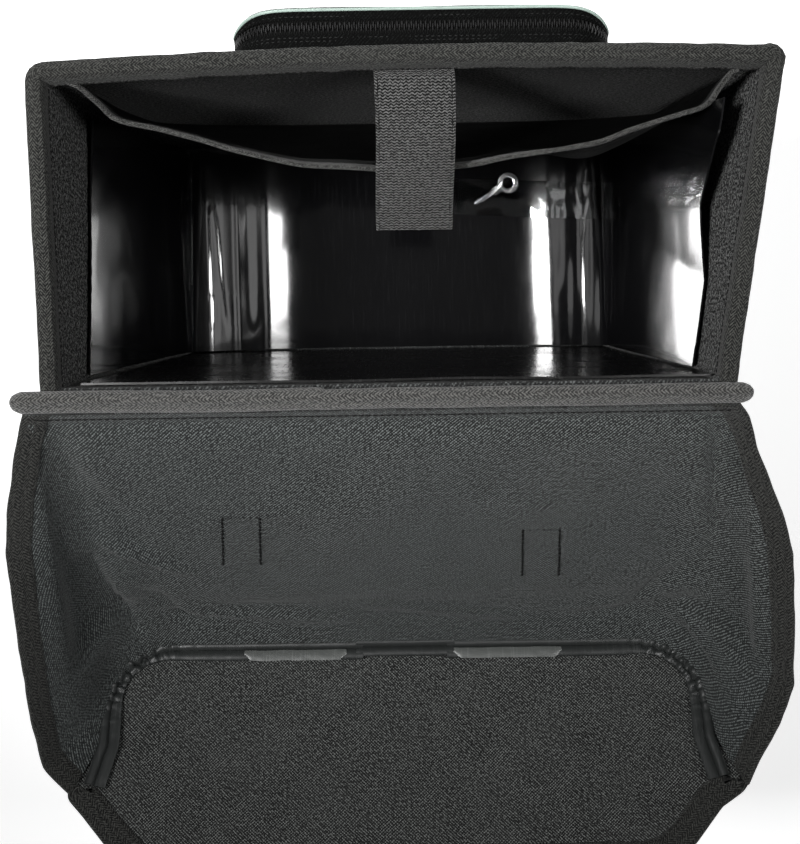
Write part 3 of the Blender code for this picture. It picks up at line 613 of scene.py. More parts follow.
def perimeter(t, grow=0.0, top=False):
    """Counter-clockwise outline of the body at height fraction t, with side and fraction labels."""
    C = [np.array(b) * (1 - t) + np.array(r) * t for b, r in zip(BASE_C, RIM_C)]
    rad = 1.1 * (1 - t) + 0.75 * t
    pts, tag = [], []
    for s in range(4):
        a, b = C[s], C[(s + 1) % 4]
        d = (b - a) / np.linalg.norm(b - a)
        out = np.array([d[1], -d[0]])
        for i in range(SIDES[s]):
            f = i / (SIDES[s] - 1)
            p = a + d * (rad + f * (np.linalg.norm(b - a) - 2 * rad))
            w = math.sin(math.pi * f)
            bow = (-0.25 * w * math.sin(math.pi * t) * (1.2 - 0.4 * t) if s in (0, 2) else 0.0)
            if s == 1:
                bow = 0.42 * w * t + 0.35 * w * math.sin(math.pi * t)
            if s == 3:
                bow = 0.0
            pts.append(p + out * (bow + grow))
            tag.append((s, f))
        # corner towards the next side
        e = C[(s + 2) % 4]
        d2 = (e - b) / np.linalg.norm(e - b)
        out2 = np.array([d2[1], -d2[0]])
        cen = b - d * rad + d2 * rad
        cen = b - out * 0.0 - (out + out2) * rad
        for i in range(1, CORNER_N):
            a_ = i / CORNER_N
            o = out * math.cos(a_ * math.pi / 2) + out2 * math.sin(a_ * math.pi / 2)
            o = o / np.linalg.norm(o)
            pts.append(cen + o * (rad + grow))
            tag.append((s + 0.5, a_))
    return np.array(pts), tag


LV = 44
rows = []
for i in range(LV + 1):
    t = i / LV
    P2, tag = perimeter(t)
    z = 0.12 + (RIM_Z - 0.12) * t
    row = []
    for (x, y), (s, f) in zip(P2, tag):
        zz = z - (0.25 * t ** 6 if s in (3,) else 0.0)
        k = 0.16 * math.sin(math.pi * min(1.0, t * 1.02))
        nn = nz((x, y, z), 5.5, 3.1) * k + nz((x, y, z), 1.9, 9.0) * k * 0.3
        cx = np.array([x, y]) / max(np.hypot(x, y), 1e-6)
        if s == 3:
            nn = 0.0
        row.append((x + cx[0] * nn, y + cx[1] * nn, zz))
    rows.append(row)
SH = np.array(rows).transpose(1, 0, 2)                                       # perimeter, height
ctr = SH.mean(axis=(0, 1))


def inward(P, d):
    n = normals(P, True)
    return P - n * d


shell = sheet("body_shell", inward(SH, 0.22), 0.44, ("outer", "facing", "outer"), closed=True, body="bag",
              repl=("front_wall", "back_wall", "left_wall", "right_wall"), slot="twill")

# base panel with softened edges
b0, tag0 = perimeter(0.0)
bv, bf, buv = [], [], []
for dz, gr in ((0.0, -0.45), (0.05, -0.2), (0.22, -0.02), (0.6, -0.02), (0.66, -0.3)):
    pp, _ = perimeter(0.0, grow=gr)
    bv += [(x, y, dz) for x, y in pp]
m_ = len(b0)
for lv in range(4):
    for i in range(m_):
        k_ = (i + 1) % m_
        bf.append((lv * m_ + i, lv * m_ + k_, (lv + 1) * m_ + k_, (lv + 1) * m_ + i))
        buv += [(i * 0.006, lv * 0.003), (i * 0.006 + 0.006, lv * 0.003), (i * 0.006 + 0.006, lv * 0.003 + 0.003), (i * 0.006, lv * 0.003 + 0.003)]
bf.append(tuple(range(m_ - 1, -1, -1)))
buv += [(bv[i][0] * CM, bv[i][1] * CM) for i in range(m_ - 1, -1, -1)]
bf.append(tuple(4 * m_ + i for i in range(m_)))
buv += [(bv[4 * m_ + i][0] * CM, bv[4 * m_ + i][1] * CM) for i in range(m_)]
make("base_panel_skin", bv, bf, buv, "outer", body="bag", repl=("base_panel",), slot="twill")

# bound edge round the base
pp, _ = perimeter(0.03, grow=0.05)
ring = np.array([(x, y, 0.95) for x, y in pp])
cn = ring - ring.mean(0)
pn = np.roll(ring, -1, 0) - np.roll(ring, 1, 0)
out = np.stack([pn[:, 1], -pn[:, 0], np.zeros(len(pn))], 1)
sweep("base_edge_tape", ring, out, (0, 0, 1), rrect(0.42, 0.9, 0.16), "tape", closed=True, body="bag", repl=("base_binding",), slot="binding")

# corner seams: bound seam allowances standing out at the four vertical corners
idx = [i for i, (s, f) in enumerate(tag0) if s % 1 == 0.5 and abs(f - 0.5) < 0.01]
for name, i, node in zip(("seam_front_right", "seam_front_left", "seam_back_left", "seam_back_right"), idx,
                         ("front_right_seam", "front_left_seam", "back_left_seam", "back_right_seam")):
    col = SH[i]
    lo, hi = 2, LV - 2
    path = resample(col[lo:hi], 60)
    c0 = np.array([0, 0, path[:, 2].mean()])
    o = path.copy()
    o[:, 2] = 0
    sg = np.sign(path[0][:2])
    side = np.array([sg[0] * 0.75, sg[1] * 0.66, 0.0])
    path = path + side * 0.16
    path[:, 0] += np.array([nz(p, 2.5, 5.0) for p in path]) * 0.05
    up = np.cross(side, (0, 0, 1))
    sweep(name, path, side, up, rrect(0.62, 0.26, 0.1), "tape", body="bag", repl=(node,), slot="binding")

# rim tape: folded over the rim from the back right corner round the front to the back left corner
n_r = SIDES[0] + (CORNER_N - 1) + SIDES[1] + (CORNER_N - 1) + SIDES[2]
rim = SH[:n_r, -1].copy()
rim = np.vstack([rim[:1] + [0, -0.75, -0.1], rim[1:-1], rim[-1:] + [0, -0.75, -0.1]])
rim = resample(rim, 260)
tng = np.gradient(rim, axis=0)
o_ = np.stack([tng[:, 1], -tng[:, 0], np.zeros(len(tng))], 1)
o_ /= np.linalg.norm(o_, axis=1, keepdims=True)
rim_path = rim - o_ * 0.22
rim_path[:, 2] += 0.02 + 0.05 * np.array([nz(p, 3.0, 1.0) for p in rim])
front_w = np.clip((rim[:, 1] - 6.0) / 2.5, 0, 1)                             # 1 along the front
tilt = 0.30 * front_w + 0.06
up_ = np.array([0, 0, 1.0]) + o_ * tilt[:, None] * 0.9
sd_ = np.cross(tng / np.linalg.norm(tng, axis=1, keepdims=True), up_)
prof = np.array([(0.43, -1.05), (0.47, -0.4), (0.47, 0.02), (0.36, 0.22), (0.12, 0.30), (-0.16, 0.30), (-0.38, 0.21), (-0.49, 0.0),
                 (-0.49, -0.45), (-0.46, -0.88), (-0.34, -0.9), (-0.3, -0.8), (0.3, -0.9), (0.34, -1.07)])
prw = np.repeat(prof[None], len(rim_path), 0).copy()
prw[:, :, 0] += (0.03 * np.array([nz(p, 0.8, 33.0) for p in rim_path]))[:, None]
wv = np.array([nz(p, 1.6, 12.0) for p in rim_path])
prw[:, :, 0] += (wv * 0.035)[:, None]
sweep("rim_tape", rim_path, sd_, up_, prw, "tape3", body="bag", repl=("mouth_binding",), slot="binding")
st_path = rim_path - sd_ / np.linalg.norm(sd_, axis=1, keepdims=True) * 0.49 + up_ * np.array(-0.62)
stitches("rim_stitches_in", st_path + np.array([0, 0, -0.1]), -sd_, "bag", mat="thread", length=0.24, gap=0.1, r=0.03, lift=0.0)
st_path = rim_path + sd_ / np.linalg.norm(sd_, axis=1, keepdims=True) * 0.47 - up_ * 0.75
stitches("rim_stitches_out", st_path, sd_, "bag", mat="thread_g", length=0.24, gap=0.1, r=0.03, lift=0.0)

# =====================================================================
# inside of the bag
# =====================================================================
# liner: floor and two sides of one bent sheet; the bend is a soft cone towards the back corners


NY, NS = 46, 321


def wall_half(z, f, side):
    """Inside half width of the body at height z; f = 0 at the back, 1 at the front."""
    t = z / RIM_Z
    back, front = (17.0, 19.42) if side > 0 else (18.05, 18.25)
    rim_w = back + (front - back) * f
    w = math.sin(math.pi * min(1.0, max(0.0, 0.05 + 0.9 * f)))
    return (15.0 * (1 - t) + rim_w * t) - 0.44 - 0.25 * w * math.sin(math.pi * t) * (1.2 - 0.4 * t)


def liner_profile(f, side):
    """Half profile from the floor's centre outwards, by its slope."""
    n = 420
    sig = np.linspace(0, 46.0, n)
    start, rate = (4.95, 4.15) if side < 0 else (6.35 + 0.5 * (1 - f), 4.3)
    top = 27.5 if side < 0 else 27.0
    th = rate * np.clip(sig - start, 0, None)
    knee = start + 17.8 / rate
    rise = np.clip((sig - knee) / 0.4, 0, 1)
    th = np.where(sig < knee, th, 17.8 + (top - 17.8) * rise * rise * (3 - 2 * rise))
    th = np.convolve(np.pad(th, 4, mode="edge"), np.ones(9) / 9, mode="valid")
    dips = ([(10.3, 0.42, 5.4, 0.12, 1.1), (11.55, 0.10, 9.3, -0.3, 1.2), (12.1 + 1.2 * f, 0.10, 9.3, 0.12, 0.9), (13.0 - 0.2 * f, 0.08, 8.0, 0.05, 0.3),
             (12.6, 0.07, 5.0, 0.35, 0.95)] if side < 0 else
            [(11.5, 0.32, 5.2, 0.3, 1.05), (12.95, 0.09, 9.3, 0.3, 0.85), (12.25, 0.09, 8.4, 0.05, 0.42), (13.65, 0.09, 9.0, 0.15, 0.68), (14.25 + 0.3 * f, 0.09, 8.6, 0.1, 0.8)])
    for c, w_, dep, lo_, hi_ in dips:
        g = 1 / (1 + math.exp(-(f - lo_) / 0.03)) / (1 + math.exp((f - hi_) / 0.03))
        th = th - dep * g * np.exp(-((sig - c) / w_) ** 2)
    c = 15.0 - 0.2 * f
    wdt = 0.9 + 2.3 * f
    a2 = np.clip((sig - (c - wdt * 0.5)) / wdt, 0, 1)
    a2 = a2 * a2 * (3 - 2 * a2)
    th = np.radians(th * (1 - a2) + 86.0 * a2)
    x = np.concatenate([[0], np.cumsum(np.cos(th[:-1]) * np.diff(sig))])
    z = np.concatenate([[0], np.cumsum(np.sin(th[:-1]) * np.diff(sig))])
    zt = (25.6 - 1.6 * f) if side < 0 else float(np.interp(f, (0, 0.62, 0.9, 1), (26.0, 26.2, 29.5, 30.0)))
    zg = np.linspace(0, 34.0, 341)
    if side < 0:
        inb = 1 / (1 + np.exp(-(zg - (16.0 * f - 3.0)) / 1.2)) / (1 + np.exp((zg - (15.0 + 4.0 * f)) / 1.2))
        lean = 4.3 + 1.9 * inb
    else:
        inb = 1 / (1 + np.exp((zg - 8.5) / 1.0)) / (1 + math.exp((f - 0.42) / 0.07))
        lean = 3.9 + 2.6 * inb + 0.4 / (1 + math.exp(-(f - 0.85) / 0.05))
    wg = 14.5 + np.concatenate([[0], np.cumsum(np.tan(np.radians(0.5 * (lean[1:] + lean[:-1]))) * np.diff(zg))])
    W = np.minimum(np.interp(z, zg, wg), np.array([wall_half(v, f, side) for v in z]) - 0.2)
    k = np.clip((z - 1.5) / 6.0, 0, 1)
    k = k * k * (3 - 2 * k)
    x = np.where(z > 1.5, x + (W - x) * k, x)
    m = z <= zt
    m[-1] = False
    P = np.stack([x[m], z[m]], 1)
    fine = resample(P[P[:, 1] < 6.0], int((NS - 1) / 2 * 0.78))
    wing = resample(P[P[:, 1] >= 6.0], (NS - 1) // 2 - len(fine) + 1)
    return np.vstack([fine, wing])


LP = np.zeros((NY, NS, 3))
for i in range(NY):
    f = i / (NY - 1)
    y = -7.55 + 13.9 * f
    R = liner_profile(f, 1)
    Lh = liner_profile(f, -1)
    half = np.vstack([np.stack([-Lh[::-1, 0], Lh[::-1, 1]], 1)[:-1], R])
    LP[i, :, 0] = half[:, 0]
    LP[i, :, 2] = 0.72 + half[:, 1]
    LP[i, :, 1] = y
wav = nfield(LP, 6.5, 21.0) * 0.05 + nfield(LP, 2.4, 31.0) * 0.006
LP[:, :, 2] += np.where(np.abs(LP[:, :, 0]) < 13, wav * 0.5 + 0.03, 0)
hgt = np.clip((LP[:, :, 2] - 3) / 8, 0, 1)
LP[:, :, 0] -= np.sign(LP[:, :, 0]) * hgt * np.abs(wav) * 2.0
liner = sheet("pe_liner_sheet", LP, 0.1, ("liner", "liner"), want=(0, 0, 1), body="bag", repl=("liner",), slot="liner")

# back board, inside the back wall
BX = np.zeros((41, 31, 3))
for i in range(41):
    for j in range(31):
        v = j / 30
        hw = 14.3 + 2.1 * v
        x = -hw + 2 * hw * i / 40
        z = 0.85 + 29.7 * v
        BX[i, j] = (x, -7.74 + 0.05 * nz((x, 0, z), 6.0, 2.0), z)
sheet("back_board_sheet", BX, 0.12, ("board", "board"), want=(0, 1, 0), body="bag", repl=("back_board",), slot="liner")

# slip pocket on the front wall
EDGE = catmull([(-17.2, 7.75, 31.0), (-16.07, 7.45, 30.8), (-15.18, 6.62, 29.6), (-14.24, 5.84, 28.7), (-10.83, 5.05, 28.3), (-8.26, 4.25, 28.1),
                (-5.08, 3.48, 28.0), (-1.29, 3.18, 28.0), (1.1, 3.1, 28.0), (3.71, 3.3, 28.0), (5.5, 3.64, 28.0), (8.28, 4.21, 28.1), (10.73, 4.68, 28.2),
                (12.34, 5.21, 28.3), (15.07, 5.87, 28.5), (16.26, 6.23, 28.8), (16.8, 7.11, 29.9), (17.31, 7.79, 30.8), (17.8, 7.9, 31.0)], 8)
EDGE = resample(EDGE, 97)


def wall_in(z):
    return 7.2 + 1.2 * z / 31.4 - 0.55


PK = np.zeros((97, 34, 3))
for i, e in enumerate(EDGE):
    for j in range(34):
        t = j / 33
        z = 12.0 + (e[2] - 12.0) * t
        x = e[0] * (0.955 + 0.045 * t)
        lim = 14.6 + (z / 31.4) * (3.2 if e[0] > 0 else 2.6) - 0.35
        x = max(-lim, min(lim, x))
        g = wall_in(e[2]) - e[1]
        y = wall_in(z) - 0.12 - max(0.0, g - 0.12) * t ** 1.25
        belly = 1.5 * math.exp(-((x - 10.8) / 3.6) ** 2) * math.exp(-((t - 0.72) / 0.2) ** 2)
        belly += 0.5 * math.exp(-((x + 9.0) / 4.5) ** 2) * math.exp(-((t - 0.6) / 0.22) ** 2)
        y -= belly
        y -= 0.10 * nz((x, y, z), 2.4, 4.0) * min(1, g) * t
        PK[i, j] = (x, y, z)
sheet("slip_pocket_panel", PK, 0.12, ("pocket_in", "coated"), want=(0, -1, 0), body="bag", repl=("inner_pocket",), slot="twill")
ew = EDGE.copy()
ew[:, 1] = PK[:, -1, 1]
ew[:, 0] = PK[:, -1, 0]
tn = np.gradient(ew, axis=0)
dn = PK[:, -5] - PK[:, -1]
dn /= np.linalg.norm(dn, axis=1, keepdims=True)
sdv = np.cross(tn / np.linalg.norm(tn, axis=1, keepdims=True), dn)
sdv = np.where(sdv[:, 1:2] > 0, -sdv, sdv)
pth = ew + dn * 0.3
sweep("slip_pocket_tape", pth, sdv, -dn, rrect(0.24, 0.72, 0.1), "tape4", body="bag", repl=("inner_pocket_binding",), slot="binding")
band = np.array([PK[i, -1] * 0.0 + pth[i] + dn[i] * 0.86 + sdv[i] * 0.02 for i in range(len(pth))])
sweep("slip_pocket_band", band, sdv, -dn, rrect(0.2, 1.15, 0.08), "pocket_in", body="bag", slot="twill")
stitches("slip_pocket_stitches", pth + dn * 0.2 + sdv * 0.13, sdv, "bag", mat="thread", length=0.22, gap=0.1, r=0.028, lift=0.0)

# hook-and-loop strap
ctrl = catmull([(0, 7.95, 30.35), (0, 7.35, 30.75), (0, 6.3, 30.62), (0, 4.6, 29.95), (0, 2.4, 28.85), (0, 0.05, 27.45)], 8)
ctrl = resample(ctrl, 60)
ST = np.zeros((60, 25, 3))
for i, c in enumerate(ctrl):
    for j in range(25):
        q = j / 24
        f = i / 59
        x = 1.04 + (q - 0.5) * (4.1 - 0.06 * f) + 0.06 * math.sin(f * 5)
        dz = 0.10 * math.sin(math.pi * q) * f + 0.05 * nz((x, c[1], 0), 1.8, 8.0)
        ST[i, j] = (x, c[1] + 0.03 * nz((x, 0, 5), 0.5, 3) * (f > 0.98), c[2] + dz)
strap = sheet("hook_loop_tab", ST, 0.2, ("velcro", "velcro"), want=(0, 0, 1), body="inner_strap", repl=("hook_loop_strap",), slot="hook_loop")
up_s = np.gradient(ctrl, axis=0)
up_s = np.stack([np.zeros(60), -up_s[:, 2], up_s[:, 1]], 1) * -1
for q in (0.04, 0.96):
    p = ST[2:, int(round(q * 24))].copy()
    p[:, 2] += 0.1
    stitches("tab_selvedge_%d" % int(q * 100), p, (0, 0.3, 1), "inner_strap", mat="thread_g" if False else "thread", length=0.12, gap=0.05, r=0.03, lift=-0.005)

# key under clear tape on the liner's floor
def floor_z(x, y):
    f = min(1, max(0, (y + 7.55) / 13.9))
    i = f * (NY - 1)
    i0 = int(min(NY - 2, i))
    r = LP[i0] * (1 - (i - i0)) + LP[i0 + 1] * (i - i0)
    sel = np.argsort(r[:, 0])
    return float(np.interp(x, r[sel, 0], r[sel, 2]))


def bed_key(bm):
    for v in bm.verts:
        v.co.z += (floor_z(v.co.x / CM, v.co.y / CM) - 0.72) * CM


refine("key", "luggage_key", "steel", "bag", width=0.035, seg=3, angle=25, extra=bed_key)

TPn = 70
TP = np.zeros((TPn, 13, 3))
r_mid = LP[int((3.0 + 7.55) / 13.9 * (NY - 1))]
rx = r_mid[NS // 2:]
path_x = resample(rx[rx[:, 0] > 4.0], 400)
dl = np.concatenate([[0], np.cumsum(np.linalg.norm(np.diff(path_x, axis=0), axis=1))])
for i in range(TPn):
    a = 14.6 * i / (TPn - 1)
    p = np.array([np.interp(a, dl, path_x[:, k]) for k in range(3)])
    pn_ = np.array([np.interp(a + 0.1, dl, path_x[:, k]) for k in range(3)]) - p
    nrm = np.array([-pn_[2], 0, pn_[0]]) / max(np.hypot(pn_[0], pn_[2]), 1e-6)
    for j in range(13):
        q = j / 12
        y = 1.75 + 2.55 * q - 0.055 * a
        on_key = math.exp(-((p[0] - 6.6) / 1.8) ** 2)
        lift = 0.09 + 0.19 * on_key * math.sin(math.pi * q) + 0.05 * abs(nz((p[0] * 1.0, y * 0.45, 2.0), 0.8, 6.0))
        w = p + nrm * lift
        TP[i, j] = (w[0], y, w[2])
sheet("key_tape_film", TP, 0.02, ("clear", "clear"), want=(0, 0, 1), body="bag", repl=("key_tape",), slot="clear_tape")

# =====================================================================
# zipped front pocket
# =====================================================================
PX0, PX1, PZ0, PZ1, PR, PY = -8.6, 11.6, 15.5, 27.5, 2.5, 11.72


def pocket_line(inset, n=200):
    pts = []
    r = PR - inset
    for cx, cz, a0 in ((PX1 - PR, PZ1 - PR, 0), (PX0 + PR, PZ1 - PR, 90), (PX0 + PR, PZ0 + PR, 180), (PX1 - PR, PZ0 + PR, 270)):
        for i in range(9):
            a = math.radians(a0 + 90 * i / 8)
            pts.append((cx + r * math.cos(a), cz + r * math.sin(a)))
    return resample(np.array(pts), n, closed=True)


def pocket_bow(x):
    return 1.15 * min(1.0, abs((x - 1.5) / 10.1)) ** 12.0


def gusset(name, y0, y1, inset, mats, repl, slot, nyy=9, bow=0.0, follow=False):
    base = pocket_line(inset)
    c = base.mean(0)
    G = np.zeros((len(base), nyy, 3))
    for i, (x, z) in enumerate(base):
        ya = (7.2 + 1.15 * (z - 0.5) / 30.9 + 0.25) if follow else y0
        for j in range(nyy):
            q = j / (nyy - 1)
            y = ya + (y1 - ya) * q
            d = bow * math.sin(math.pi * q) + 0.05 * nz((x, y, z), 1.7, 14.0)
            rad = (np.array([x, z]) - c)
            rad /= np.linalg.norm(rad)
            G[i, j] = (x + rad[0] * d, y - pocket_bow(x) * max(0.0, (y - 8.6) / 3.0), z + rad[1] * d)
    return sheet(name, G, 0.2, mats, closed=True, body="bag", repl=repl, slot=slot)


gusset("pocket_gusset_back_half", 8.2, 10.26, 0.12, ("gusset", "gusset"), ("pocket_gusset_rear",), "twill", follow=True, bow=0.06)
gusset("pocket_gusset_front_half", 11.0, 11.42, 0.12, ("gusset", "gusset"), ("pocket_gusset_front",), "twill", bow=0.04)
gusset("zip_tape_ring", 10.16, 11.1, 0.26, ("ziptape", "ziptape"), ("zip_chain",), "zip", bow=0.0)
# the coil: two rows of interlocked turns round the gusset
line = pocket_line(0.14, n=1)
full = pocket_line(0.10, n=1400)
dd = np.linalg.norm(np.diff(np.vstack([full, full[:1]]), axis=0), axis=1)
tot = dd.sum()
pitch = 0.125
nt = int(tot / pitch)
coil_v, coil_f, coil_uv = [], [], []
ln = pocket_line(0.10, n=nt)
tg = np.roll(ln, -1, 0) - np.roll(ln, 1, 0)
tg /= np.linalg.norm(tg, axis=1, keepdims=True)
for i in range(nt):
    x, z = ln[i]
    tx, tz = tg[i]
    nx, nzz = tz, -tx
    sgn = 1 if i % 2 else -1
    base = len(coil_v)
    for f, wd, hh in ((-0.16, 0.8, 0.0), (0.0, 1.0, 0.05), (0.16, 1.15, 0.02)):
        yc = 10.64 + sgn * 0.07 + f * 1.05
        for q in range(6):
            an = 2 * math.pi * q / 6
            a = 0.05 * wd * math.cos(an)
            b = 0.05 * wd * math.sin(an) + hh
            coil_v.append((x + tx * a + nx * b, yc - pocket_bow(x) * 0.68, z + tz * a + nzz * b))
    for k in range(2):
        for q in range(6):
            p = (q + 1) % 6
            coil_f.append((base + k * 6 + q, base + k * 6 + p, base + k * 6 + 6 + p, base + k * 6 + 6 + q))
            coil_uv += [(0, 0), (0.001, 0), (0.001, 0.001), (0, 0.001)]
    coil_f.append(tuple(base + q for q in range(5, -1, -1)))
    coil_f.append(tuple(base + 12 + q for q in range(6)))
    coil_uv += [(0, 0)] * 12
make("zip_coil", coil_v, coil_f, coil_uv, "coil", body="bag", slot="zip")
for nm, yy in (("zip_stitch_a", 10.08), ("zip_stitch_b", 9.9), ("zip_stitch_c", 11.16)):
    L3 = pocket_line(0.0, 400)
    L3 = np.vstack([L3, L3[:1]])
    p3 = np.stack([L3[:, 0], [yy - pocket_bow(x) * (yy - 8.6) / 3.0 for x in L3[:, 0]], L3[:, 1]], 1)
    g3 = np.gradient(p3, axis=0)
    up3 = np.stack([g3[:, 2], np.zeros(len(g3)), -g3[:, 0]], 1)
    stitches(nm, p3 - up3 / np.linalg.norm(up3, axis=1, keepdims=True) * 0.04, up3, "bag", mat="thread_d", length=0.2, gap=0.1, r=0.028, lift=0.01)
# cover, softly padded, and the reflective piping round it
NPX, NPZ = 61, 37
CV = np.zeros((NPX, NPZ, 3))
for i in range(NPX):
    for j in range(NPZ):
        a, b = -1 + 2 * i / (NPX - 1), -1 + 2 * j / (NPZ - 1)
        hx, hz = (PX1 - PX0) / 2 - 0.15, (PZ1 - PZ0) / 2 - 0.15
        # squircle map of the square onto the rounded outline
        kx, kz = PR / hx, PR / hz
        x, z = a * hx, b * hz
        ex, ez = max(0, abs(x) - (hx - PR)), max(0, abs(z) - (hz - PR))
        if ex > 0 and ez > 0:
            mx = max(ex, ez)
            ln_ = math.hypot(ex, ez)
            ex, ez = ex * mx / ln_, ez * mx / ln_
            x = math.copysign(hx - PR + ex, x)
            z = math.copysign(hz - PR + ez, z)
        d = 0.28 * (1 - a ** 4) * (1 - b ** 4) + 0.05 * nz((x, 0, z), 3.0, 2.0)
        CV[i, j] = ((PX0 + PX1) / 2 + x, PY - 0.18 + d - pocket_bow((PX0 + PX1) / 2 + x), (PZ0 + PZ1) / 2 + z)
sheet("pocket_cover_panel", CV, 0.22, ("outer", "outer"), want=(0, 1, 0), body="bag", repl=("pocket_cover",), slot="twill")
L4 = pocket_line(0.02, 300)
p4 = np.stack([L4[:, 0], [PY - 0.2 - pocket_bow(x) for x in L4[:, 0]], L4[:, 1]], 1)
g4 = np.roll(p4, -1, 0) - np.roll(p4, 1, 0)
o4 = np.stack([g4[:, 2], np.zeros(len(g4)), -g4[:, 0]], 1)
sweep("pocket_reflective_piping", p4, o4, (0, 1, 0), rrect(0.15, 0.17, 0.07, 4), "reflect", closed=True, body="bag", repl=("pocket_piping",), slot="piping")
refine("zip_slider", "zip_slider_body", "zipmetal", "slider", width=0.09, seg=3)
refine("zip_pull", "zip_pull_tab", "zipmetal", "pull", width=0.05, seg=2)

# =====================================================================
# lid hood
# =====================================================================
PHI, FOLD = math.radians(40.9), math.radians(78.8)
LT = np.array([0, -math.cos(PHI), -math.sin(PHI)])
LN = np.array([0, -math.sin(PHI), math.cos(PHI)])
LH = np.array([0, -8.85, 32.0])
FF = LT * math.cos(FOLD) + LN * math.sin(FOLD)
FO = LT * math.sin(FOLD) - LN * math.cos(FOLD)
RIDGE = LH + LT * 21.0
EX = np.array([1.0, 0, 0])


def lidp(x, s, n):
    return EX * x + LH + LT * s + LN * n


def flapp(x, v, o):
    return EX * x + RIDGE + FF * v + FO * o


def half_outline():
    pts = [(0.0, 0.0), (13.6, 0.0)]
    for i in range(1, 13):
        a = math.radians(90 - 90 * i / 12)
        pts.append((13.6 + 4.05 * math.cos(a), 4.05 - 4.05 * math.sin(a)))
    pts += [(18.1, 6.2), (19.4, 8.9)]
    return np.array(pts)


HO = half_outline()
HD = np.concatenate([[0], np.cumsum(np.linalg.norm(np.diff(HO, axis=0), axis=1))])
HT = HD[-1]
NQ, NR = 141, 74
# free edges of the wings: distance along the lid, half width
WING_L = np.array([(0.34, 19.0), (2.91, 19.85), (5.89, 20.65), (8.18, 21.05), (10.76, 21.1), (14.44, 21.12), (18.11, 21.1), (21.32, 20.75), (22.73, 19.5)])
WING_R = np.array([(0.35, 17.25), (2.69, 18.28), (4.26, 19.05), (6.54, 20.12), (8.84, 20.85), (12.87, 21.42), (16.66, 21.75), (18.97, 21.25), (21.32, 20.25), (22.73, 19.75)])
HOOD = np.zeros((NQ, NR, 3))
for i in range(NQ):
    a = (-1 + 2 * i / (NQ - 1)) * HT
    sg = 1 if a >= 0 else -1
    aa = abs(a)
    bx = np.interp(aa, HD, HO[:, 0])
    bvv = np.interp(aa, HD, HO[:, 1])
    xh = 17.25 if sg > 0 else 19.0
    ax = aa * (14.6 / 13.6) if aa < 13.6 else 14.6 + (aa - 13.6) / (HT - 13.6) * (xh - 14.6)
    w = max(0.0, (aa - 13.6) / (HT - 13.6))
    bxx = bx + (0.35 if sg > 0 else -0.1) * min(1, aa / 13)
    sB, nB = 21.0 + 0.194 * bvv, 0.981 * bvv
    for j in range(NR):
        r = j / (NR - 1)
        s = 0.35 + r * (sB - 0.35)
        W = WING_R if sg > 0 else WING_L
        sw = 0.35 + r * (W[-1, 0] - 0.35)
        bul = (np.interp(sw, W[:, 0], W[:, 1]) - np.interp(sw, (W[0, 0], W[-1, 0]), (W[0, 1], W[-1, 1]))) * w ** 1.3
        x = sg * (ax + (bxx - ax) * r + bul)
        n = nB * r ** 1.08
        # the middle lies flat, then eases up towards the side wings
        n += 0.0
        ds = (1 - r) * 20.6
        # soft hollow and roll along the ridge seam
        n += -0.34 * math.exp(-((ds - 2.6) / 1.5) ** 2) * (1 - w) + 0.12 * math.exp(-(ds / 0.9) ** 2)
        # gathers fanning out of the two rounded corners
        cw = math.exp(-((aa - 16.8) / 3.4) ** 2)
        gath = cw * math.exp(-ds / 1.5) * 0.16 * math.sin(aa * 2 * math.pi / 0.95 + 1.1 * nz((aa, ds, 0), 1.2, 3.0))
        p = lidp(x, s, n)
        und = 0.16 * nz((x, s, 0), 6.5, 11.0) + 0.05 * nz((x, s, 0), 2.1, 17.0)
        und *= min(1.0, 4 * r) * (0.5 + 0.5 * min(1, 3 * (1 - r)))
        # a few lasting creases
        cr = 0.0
        for (x0, s0, x1, s1, am, wd) in ((-16.6, 10.6, -12.6, 13.5, 0.30, 0.40), (-13.9, 17.3, -10.0, 18.2, 0.34, 0.55), (-9.6, 18.2, -4.0, 18.8, 0.16, 0.45), (10.0, 18.0, 14.6, 17.0, 0.18, 0.5),
                                         (-18.0, 3.0, -15.4, 8.4, -0.34, 0.9), (-17.3, 11.6, -15.9, 18.6, -0.55, 0.55), (-14.6, 15.2, -12.4, 18.9, -0.30, 0.5), (-11.0, 17.2, -6.0, 17.0, -0.16, 0.6), (16.2, 5.0, 18.6, 10.5, 0.16, 0.6),
                                         (-17.6, 5.0, -16.0, 12.0, -0.18, 0.7), (16.9, 11.0, 17.9, 17.5, -0.28, 0.8), (15.2, 15.6, 17.8, 19.0, 0.26, 0.45), (15.8, 18.6, 18.4, 19.6, -0.24, 0.4),
                                         (4.0, 7.6, 11.0, 9.0, 0.035, 0.12), (-2.0, 17.4, 6.5, 18.7, 0.16, 0.45), (-9.0, 9.0, -4.5, 8.2, 0.05, 0.35), (13.2, 17.6, 15.6, 13.6, -0.26, 0.5)):
            d0 = np.array([x1 - x0, s1 - s0])
            tt = np.clip(((x - x0) * d0[0] + (s - s0) * d0[1]) / (d0 @ d0), 0, 1)
            dist = math.hypot(x - x0 - tt * d0[0], s - s0 - tt * d0[1])
            side = (x - x0) * d0[1] - (s - s0) * d0[0]
            wq = wd * (1.7 if side * am > 0 else 0.55)
            cr += 1.5 * am * math.exp(-(dist / wq) ** 2) * (0.35 + 0.65 * math.sin(math.pi * (0.1 + 0.8 * tt)))
        up = LN if w < 0.05 else LN * (1 - 0.6 * w) - EX * sg * 0.6 * w
        HOOD[i, j] = p + up * (und + cr + gath)
# room for the mouth: where the shut hood would sink into the rim it lies over it, or outside it
RIM_P = np.array([(17.0, -8.33), (19.42, 8.62), (-18.25, 8.3), (-18.05, -8.33)])


